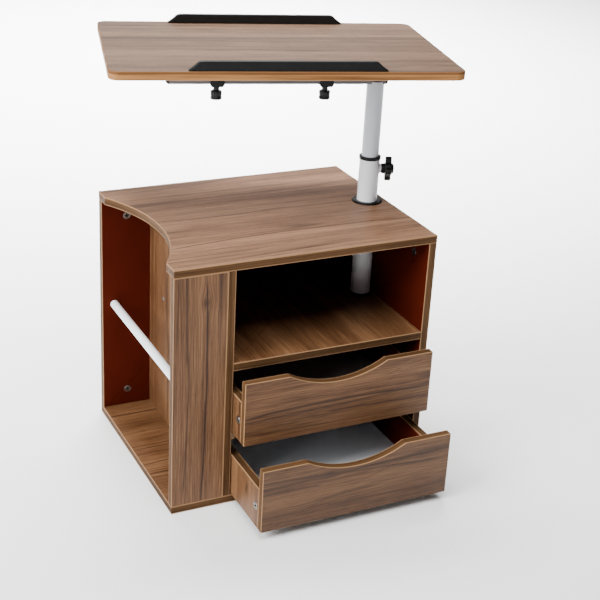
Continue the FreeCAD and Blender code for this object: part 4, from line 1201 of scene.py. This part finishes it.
@dataclass
class Post:
    """The telescoping post: tubes, collar, nut and star knob, about the axis on the cabinet."""

    x: float = 0.213
    y: float = 0.0
    swing: float = math.radians(-15.0)
    clamp_turn: float = math.radians(-25.0)
    clamp_height: float = 0.535
    inner_radius: float = 0.016
    inner_bore: float = 0.0145
    inner_low: float = 0.421
    inner_top: float = 0.7025
    inner_rounding: float = 0.0004
    notch: float = 0.698
    notch_slant: float = 1e-3
    bar_half: float = 0.0125
    lobes: int = 4
    lobe_away: float = 0.017
    lobe_radius: float = 0.0065
    disc_radius: float = 0.0150
    blade: Point = (0.0293, 0.0413, 0.0024)
    hub: Corners = (
        (0, 0.0223, 0), (0.0095, 0.0223, 0.0006), (0.0095, 0.0293, 0.002), (0.0102, 0.0333, 0.003),
        (0.0102, 0.0393, 0.003), (0.0090, 0.0453, 0.0015), (0, 0.0468, 0))
    tube: Turning = Turning(Piece("outer_tube_pipe", "swivel_post", WHITE, "outer_tube"), (
        (0.0175, 0.274, 0.0004), (0.019, 0.274, 0.0004), (0.019, 0.556, 0.0004), (0.0175, 0.556, 0.0004)), 3)
    collar: Turning = Turning(Piece("collar_bush_ring", "swivel_post", BLACK, "collar_bush"), (
        (0.01605, 0.516, 0), (0.0174, 0.516, 0), (0.0174, 0.556, 0), (0.0191, 0.556, 0),
        (0.0191, 0.5538, 0.0004), (0.0205, 0.5538, 0.0007), (0.0205, 0.560, 0.0016),
        (0.01605, 0.560, 0.0006)))
    nut: Turning = Turning(Piece("weld_nut_boss", "swivel_post", WHITE, "weld_nut"), (
        (0.0041, 0.0176, 0), (0.0105, 0.0176, 0), (0.0095, 0.0192, 0.001), (0.00825, 0.0200, 0.0008),
        (0.00825, 0.0220, 0.0006), (0.0041, 0.0220, 0.0003)), 3, 64)

    def clamp(self) -> Place:
        """Returns the clamp's place: its third axis runs out along the screw, its second up."""
        cos, sin = math.cos(self.clamp_turn), math.sin(self.clamp_turn)
        return Place((self.x, self.y, self.clamp_height), (sin, -cos, 0), (0, 0, 1), (cos, sin, 0))

    def star_knob(self) -> None:
        """Builds the star knob: a lobed blade with rounded faces, and a hub with a domed end.

        The blade's edge is the farthest of the disc and the lobes' circles along each spoke, by a soft
        maximum, and is then averaged with its neighbours three times, which rounds its inner corners.
        """
        angle, power = fan(192), 24
        best = np.full_like(angle, self.disc_radius ** power)
        for spoke in fan(self.lobes) + np.pi / 2:
            off = np.mod(angle - spoke + np.pi, 2 * np.pi) - np.pi
            hits = self.lobe_radius ** 2 - (self.lobe_away * np.sin(off)) ** 2
            reach = self.lobe_away * np.cos(off) + np.sqrt(np.maximum(hits, 0))
            best = best + np.where((hits > 0) & (np.cos(off) > 0), reach, 0.0) ** power
        edge = polar(np.minimum(best ** (1 / power), self.lobe_away + self.lobe_radius), angle)
        for _ in range(3):
            edge = (np.roll(edge, 1, 0) + 2 * edge + np.roll(edge, -1, 0)) / 4
        solid = Solid()
        solid.stack([Outline.polygon(edge)], edge_rings(*self.blade, 6), self.clamp())
        solid.turned(self.hub, self.clamp(), closed=False)
        solid.become(Piece("star_knob_grip", "height_clamp", BLACK, "star_knob", KNOB_SHARP))

    def inner_tube(self) -> None:
        """Builds the inner tube: rows up the outside, over the rim and down the bore.

        The rim stands at the tube's top beside the crossbar and drops to the bar's underside where the
        bar crosses, with a step at the angle whose sine is half the bar over the radius.
        """
        step = math.asin(self.bar_half / self.inner_radius)
        cuts = np.array([step, np.pi - step, np.pi + step, 2 * np.pi - step])
        angle = np.concatenate([fan(96), cuts - self.notch_slant, cuts + self.notch_slant])
        angle = np.append(np.sort(angle), 2 * np.pi)
        rim = np.where(abs(np.sin(angle)) * self.inner_radius > self.bar_half, self.inner_top, self.notch)
        foot, soft = np.full_like(angle, self.inner_low), self.inner_rounding
        rows = [(self.inner_radius, foot), (self.inner_radius, rim - soft), (self.inner_radius - soft, rim),
                (self.inner_bore + soft, rim), (self.inner_bore, rim - soft), (self.inner_bore, foot),
                (self.inner_radius, foot)]
        points = np.stack([np.column_stack([polar(out, angle + self.swing), level]) for out, level in rows])
        solid = Solid()
        solid.grid(Place((self.x, self.y, 0)).put(points))
        # The inner tube wears the greyer copy of the white coat: painted shade.
        solid.become(Piece("inner_tube_pipe", "board_carrier", SHADED_INNER_WHITE, "inner_tube"))

    def build(self) -> None:
        """Builds the post."""
        upright = Place((self.x, self.y, 0))
        for turning, place in ((self.tube, upright), (self.collar, upright), (self.nut, self.clamp())):
            turning.build(place)
        self.star_knob()
        self.inner_tube()


@dataclass
class Carrier:
    """The crossbar on the post with its caps, and the two tilting brackets under the laptop board."""

    post: Post
    left_end: float = -0.378
    right_end: float = 0.016
    half: float = 0.0125
    corner: float = 0.0022
    wall: float = 0.0015
    low: float = 0.698
    plug: float = 0.015
    plug_gap: float = 0.0001
    cap: tuple[Pair, ...] = ((0, 0), (0, 0.0010), (0.0004, 0.0017), (0.0032, 0.0045), (0.0042, 0.005))
    brackets: tuple[tuple[str, float], ...] = (("left", -0.292), ("right", -0.094))
    bracket_rounding: float = 0.0006
    neck: Corners = (
        (0, 0.6817, 0), (0.0055, 0.6817, 0), (0.0055, 0.6921, 0), (0.0059, 0.6925, 0), (0.0055, 0.6937, 0),
        (0, 0.6937, 0))
    grip_low: float = 0.6682
    grip_high: float = 0.6837
    grip_radius: float = 0.01025
    grip_rounding: float = 0.0012
    waist: tuple[Pair, ...] = ((0, 0.0052), (0.0008, 0.0062), (0.0008, 0.0072), (0, 0.0082))
    flutes: int = 12
    flute_depth: float = 0.0010

    def along(self, u: float = 0.0, z: float = 0.0) -> np.ndarray:
        """Returns a point given along the bar and up."""
        return np.array([self.post.x, self.post.y, z]) + u * self.run

    @property
    def run(self) -> np.ndarray:
        """The bar's direction."""
        return np.append(polar(1, self.post.swing), 0)

    @property
    def across(self) -> np.ndarray:
        """The direction square to the bar, towards the back."""
        return np.cross([0, 0, 1], self.run)

    def crossbar(self) -> None:
        """Builds the square tube, carried along the bar outside and back inside, and its end caps."""
        square = Outline.polygon(rounded(box_corners((-self.half,) * 2, (self.half,) * 2), self.corner, 5))
        place = Place(self.along(0, self.low + self.half), self.across, (0, 0, 1), self.run)
        left, right, inner = self.left_end, self.right_end, self.wall
        rings = [(0, left), (0, right), (inner, right), (inner, left)]
        bar, caps = Solid(), Solid()
        bar.stack([square], rings, place, closed=True)
        # The crossbar wears the grey coat: darker paint together with painted shade.
        bar.become(Piece("crossbar_tube", "board_carrier", GREY, "crossbar"))
        inside = inner + self.plug_gap
        for end, way in ((left, -1), (right, 1)):
            rings = [(inside, -self.plug), (inside, 0), *self.cap]
            caps.stack([square], [(inset, end + way * out) for inset, out in rings], place)
        caps.become(Piece("crossbar_end_caps", "board_carrier", BLACK, "crossbar_caps"))

    def knob(self, side: str, u: float) -> None:
        """Builds a bracket's knob: a turned neck with a collar, and a fluted grip with rounded ends.

        The grip's radius is its full radius less the flutes' depth times the square of a raised cosine of
        the angle.

        Args:
            side: which bracket it is on.
            u: the bracket's place along the bar.
        """
        angle, place = fan(144), Place(self.along(u))
        solid = Solid()
        solid.turned(self.neck, place, count=48, closed=False)
        wave = 0.5 + 0.5 * np.cos(angle * self.flutes)
        grip = Outline.polygon(polar(self.grip_radius - self.flute_depth * wave ** 2, angle))
        rings = edge_rings(self.grip_low, self.grip_high, self.grip_rounding, 4)
        waist = np.array(self.waist) + (0.0, self.grip_low)
        solid.stack([grip], np.vstack([rings[:5], waist, rings[5:]]), place)
        name = side + "_bracket_"
        solid.become(Piece(name + "knob_grip", name + "clamp", BLACK, name + "knob", KNOB_SHARP))

    def build(self) -> None:
        """Builds the bar, its caps and the brackets."""
        self.crossbar()
        for side, u in self.brackets:
            bevelled_copy(side + "_saddle", "board_carrier", BLACK, self.bracket_rounding)
            bevelled_copy(side + "_leaf", "tilting_board", BLACK, self.bracket_rounding)
            self.knob(side, u)


@dataclass
class LaptopBoard:
    """The tilting laptop board with its two ledges and the screws under it."""

    carrier: Carrier
    centre: float = -0.193
    length: float = 0.600
    depth: float = 0.400
    low: float = 0.751
    high: float = 0.766
    corner: float = 0.0181
    arris: float = 0.0013
    shift: Pair = (31.2, 22.8)
    ledge_length: float = 0.333
    ledge_height: float = 0.017
    ledge_arris: float = 0.0014
    end_run: float = 0.024
    end_height: float = 0.0025
    end_corner: float = 0.0010
    shoulder_run: float = 0.010
    shoulder_drop: float = 0.0041
    shoulder_bulge: float = 0.0011
    hollow_bulge: float = 0.00065
    ledges: tuple[tuple[str, float, float, float], ...] = (
        ("front_stopper", -0.197, -0.198, -0.190), ("rear_stopper", -0.195, 0.1825, 0.1905))
    ledge_screws: Point = (-0.130, 0.0, 0.130)
    leaf_screws: tuple[Pair, ...] = ((-0.014, -0.021), (-0.014, 0.021), (0.014, -0.021), (0.014, 0.021))
    leaf_under: float = 0.7455
    turn_per_metre: float = 1e3
    tilt: float = math.radians(-1.3)
    pivot: float = 0.739

    def place(self, upright: bool = False) -> Place:
        """Works out the board's place, tipped about the pivots' line, so heights are taken from the pivots.

        Args:
            upright: whether the second axis is up and the third across, not the other way round.

        Returns:
            The place.
        """
        run = self.carrier.run
        over = self.carrier.across * math.cos(self.tilt) + (0, 0, math.sin(self.tilt))
        rise = np.cross(run, over)
        origin = self.carrier.along(z=self.pivot) - rise * self.pivot
        return Place(origin, run, rise, over) if upright else Place(origin, run, over, rise)

    def board(self) -> None:
        """Builds the board: a rectangle with large round corners, carried over rounded arrises."""
        half = self.length / 2
        corners = box_corners((self.centre - half, -self.depth / 2), (self.centre + half, self.depth / 2))
        outline = Outline.polygon(rounded(corners, self.corner, 12))
        solid = Solid()
        rings = edge_rings(self.low, self.high, self.arris, 4)
        solid.stack([outline], rings, self.place(), (2, 1, 0), self.shift)
        # The laptop board's top wears the greyed copy of the print: painted sheen.
        dress = laminate(WALNUT_PAINTED_SHEEN, TAN_BAND)
        solid.become(Piece("laptop_board_laminate", "tilting_board", dress, "laptop_board"))

    @staticmethod
    def bowed(start: Any, end: Any, bulge: float) -> np.ndarray:
        """Draws a shallow arc: the chord plus a parabola of the bulge's height, square to it.

        Args:
            start: its first point.
            end: its last point.
            bulge: the parabola's height.

        Returns:
            Its points.
        """
        share = np.linspace(0, 1, 9)[:, None]
        run = np.subtract(end, start)
        square = np.array([-run[1], run[0]]) / np.linalg.norm(run)
        return start + run * share + square * bulge * 4 * share * (1 - share)

    def ledge(self, name: str, centre: float, near: float, far: float) -> None:
        """Builds a ledge: its profile with hollow and shouldered ends, carried over rounded arrises.

        Args:
            name: the solid that it stands for.
            centre: its middle along the board.
            near: its front face across the board.
            far: its rear face across the board.
        """
        half, rise = self.ledge_length / 2, self.ledge_height
        bend = (half - self.end_run + self.shoulder_run, rise - self.shoulder_drop)
        hollow = self.bowed((half, self.end_height), bend, self.hollow_bulge)
        shoulder = self.bowed(bend, (half - self.end_run, rise), -self.shoulder_bulge)
        right = np.vstack([[(half, 0.0)], hollow, shoulder[1:]])
        profile = np.vstack([right, right[::-1] * (-1, 1)])
        radii = np.zeros(len(profile))
        radii[[1, -2]] = self.end_corner
        outline = Outline.polygon(rounded(profile, radii, 3) + (centre, self.high))
        solid = Solid()
        solid.stack([outline], edge_rings(near, far, self.ledge_arris, 4), self.place(True))
        solid.become(Piece(name + "_bar", "tilting_board", BLACK, name))

    def screws(self) -> None:
        """Builds the heads of the screws under the leaves and the ledges."""
        place = self.place()
        leaf = [(place.put((u + step, v, self.leaf_under)), -place.third, self.turn_per_metre * (u + v))
                for _, u in self.carrier.brackets for step, v in self.leaf_screws]
        LEAF_SCREW.build(leaf, Piece("leaf_screw_heads", "tilting_board", PLATED, "leaf_screws"))
        ledge = [(place.put((centre + step, (near + far) / 2, self.low)), -place.third,
                  self.turn_per_metre * step)
                 for _, centre, near, far in self.ledges for step in self.ledge_screws]
        WOOD_SCREW.build(ledge, Piece("ledge_screw_heads", "tilting_board", PLATED, "stopper_screws"))

    def build(self) -> None:
        """Builds the board, the ledges and the screws."""
        self.board()
        for ledge in self.ledges:
            self.ledge(*ledge)
        self.screws()


# ---- carried-over nodes, stage


def dress_nodes() -> None:
    """Gives each solid that stays in view its own finish."""
    kept = {
        HARDBOARD: ("upper_drawer_bottom", "lower_drawer_bottom"),
        BEECH: ("cabinet_dowels",),
        NYLON: ("upper_glide_strips", "lower_glide_strips", "inner_tube_guide"),
        ZINC_PLATE: ("cabinet_cam_bolts", "upper_drawer_cam_bolts", "lower_drawer_cam_bolts", "glide_screws",
                     "clamp_screw", "left_pivot_pin", "right_pivot_pin", "left_knob_bolt", "right_knob_bolt"),
    }
    for finish, names in kept.items():
        for name in names:
            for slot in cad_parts[name].material_slots:
                slot.material = finish.material
            LOG.info("%s: keeps its solid's mesh", name)


@dataclass
class Studio:
    """The camera, the pale floor and the soft lights."""

    eye: Point = (-0.9567, -2.0551, 1.3260)
    azimuth: float = math.radians(-26.844)
    elevation: float = math.radians(24.388)
    roll: float = math.radians(3.165)
    lens: float = 79.337
    sensor: float = 36.0
    floor_level: float = -0.0003
    floor_reach: float = 6.0
    floor_tone: Colour = (0.88, 0.88, 0.88, 1.0)
    sight: float = 100.0
    world_strength: float = 0.1
    lights: tuple[tuple[str, Point, Point, float, float, float], ...] = (
        ("key", (-2.7, -0.6, 1.9), (0.0, 0.0, 0.5), 1.8, 205.0, 180.0),
        ("overhead", (-0.4, -1.1, 2.9), (0.0, -0.1, 0.4), 1.8, 105.0, 180.0),
        ("background", (0.8, 3.0, 5.2), (0.8, 3.0, 0.0), 3.2, 620.0, 66.0),
        ("backdrop", (1.2, 3.8, 2.4), (0.0, 0.0, 0.6), 2.6, 26.0, 180.0))

    @staticmethod
    def stand(data: Any, place: Place) -> bpy.types.Object:
        """Stands a camera or a light in the scene.

        Args:
            data: the camera or the light.
            place: where it stands, with its back along the third axis.

        Returns:
            Its object.
        """
        turn = Matrix(np.column_stack([place.first, place.second, place.third]).tolist()).to_4x4()
        made = bpy.data.objects.new(data.name, data)
        made.matrix_world = Matrix.Translation(place.origin) @ turn
        bpy.context.scene.collection.objects.link(made)
        return made

    def camera(self) -> None:
        """Makes the camera, turned about Z, tipped about its X and rolled about the line it looks along."""
        data = bpy.data.cameras.new("camera")
        data.lens, data.sensor_width, data.clip_end = self.lens, self.sensor, self.sight
        turns = ((self.azimuth, "Z"), (math.pi / 2 - self.elevation, "X"), (self.roll, "Z"))
        swing, tip, roll = (Matrix.Rotation(angle, 3, axis) for angle, axis in turns)
        bpy.context.scene.camera = self.stand(data, Place(self.eye, *(swing @ tip @ roll).transposed()))

    def floor(self) -> None:
        """Makes the floor: one large flat sheet."""
        corners = box_corners((-self.floor_reach,) * 2, (self.floor_reach,) * 2)
        mesh = bpy.data.meshes.new("floor")
        mesh.from_pydata([(x, y, self.floor_level) for x, y in corners], [], [range(4)])
        mesh.materials.append(PaleFloor("pale_floor", self.floor_tone).material)
        floor = bpy.data.objects.new("floor", mesh)
        bpy.context.scene.collection.objects.link(floor)

    def build(self) -> None:
        """Builds the camera, the floor, the world and the lights, each a soft square that faces its aim."""
        self.camera()
        self.floor()
        world = bpy.data.worlds.new("studio")
        world.use_nodes = True
        background = world.node_tree.nodes["Background"].inputs
        background["Color"].default_value = (1.0, 1.0, 1.0, 1.0)
        background["Strength"].default_value = self.world_strength
        bpy.context.scene.world = world
        for name, at, aim, side, power, spread in self.lights:
            data = bpy.data.lights.new(name, "AREA")
            data.size, data.energy, data.spread = side, power, math.radians(spread)
            self.stand(data, Place.facing(at, np.subtract(at, aim)))


def main() -> None:
    """Builds the sub-assemblies in order."""
    logging.basicConfig(level=logging.INFO, format="%(name)s %(message)s")
    post = Post()
    carrier = Carrier(post)
    upper = Drawer("upper_drawer", bottom=0.14175, side_front=-0.234, back=0.116, turn=15.0,
                   front_shift=(-7.0, 7.0), side_shift=(8.4, 9.9))
    # The lower drawer's front wears the darker copy of the print: painted shade.
    lower = Drawer("lower_drawer", bottom=0.0175, side_front=-0.3195, back=0.0305, turn=40.0,
                   front_shift=(-3.0, 3.0), side_shift=(5.0, 5.0), decor=WALNUT_PAINTED_SHADE)
    for assembly in (Cabinet(), upper, lower, post, carrier, LaptopBoard(carrier)):
        assembly.build()
    dress_nodes()
    Studio().build()


if __name__ == "__main__":
    main()
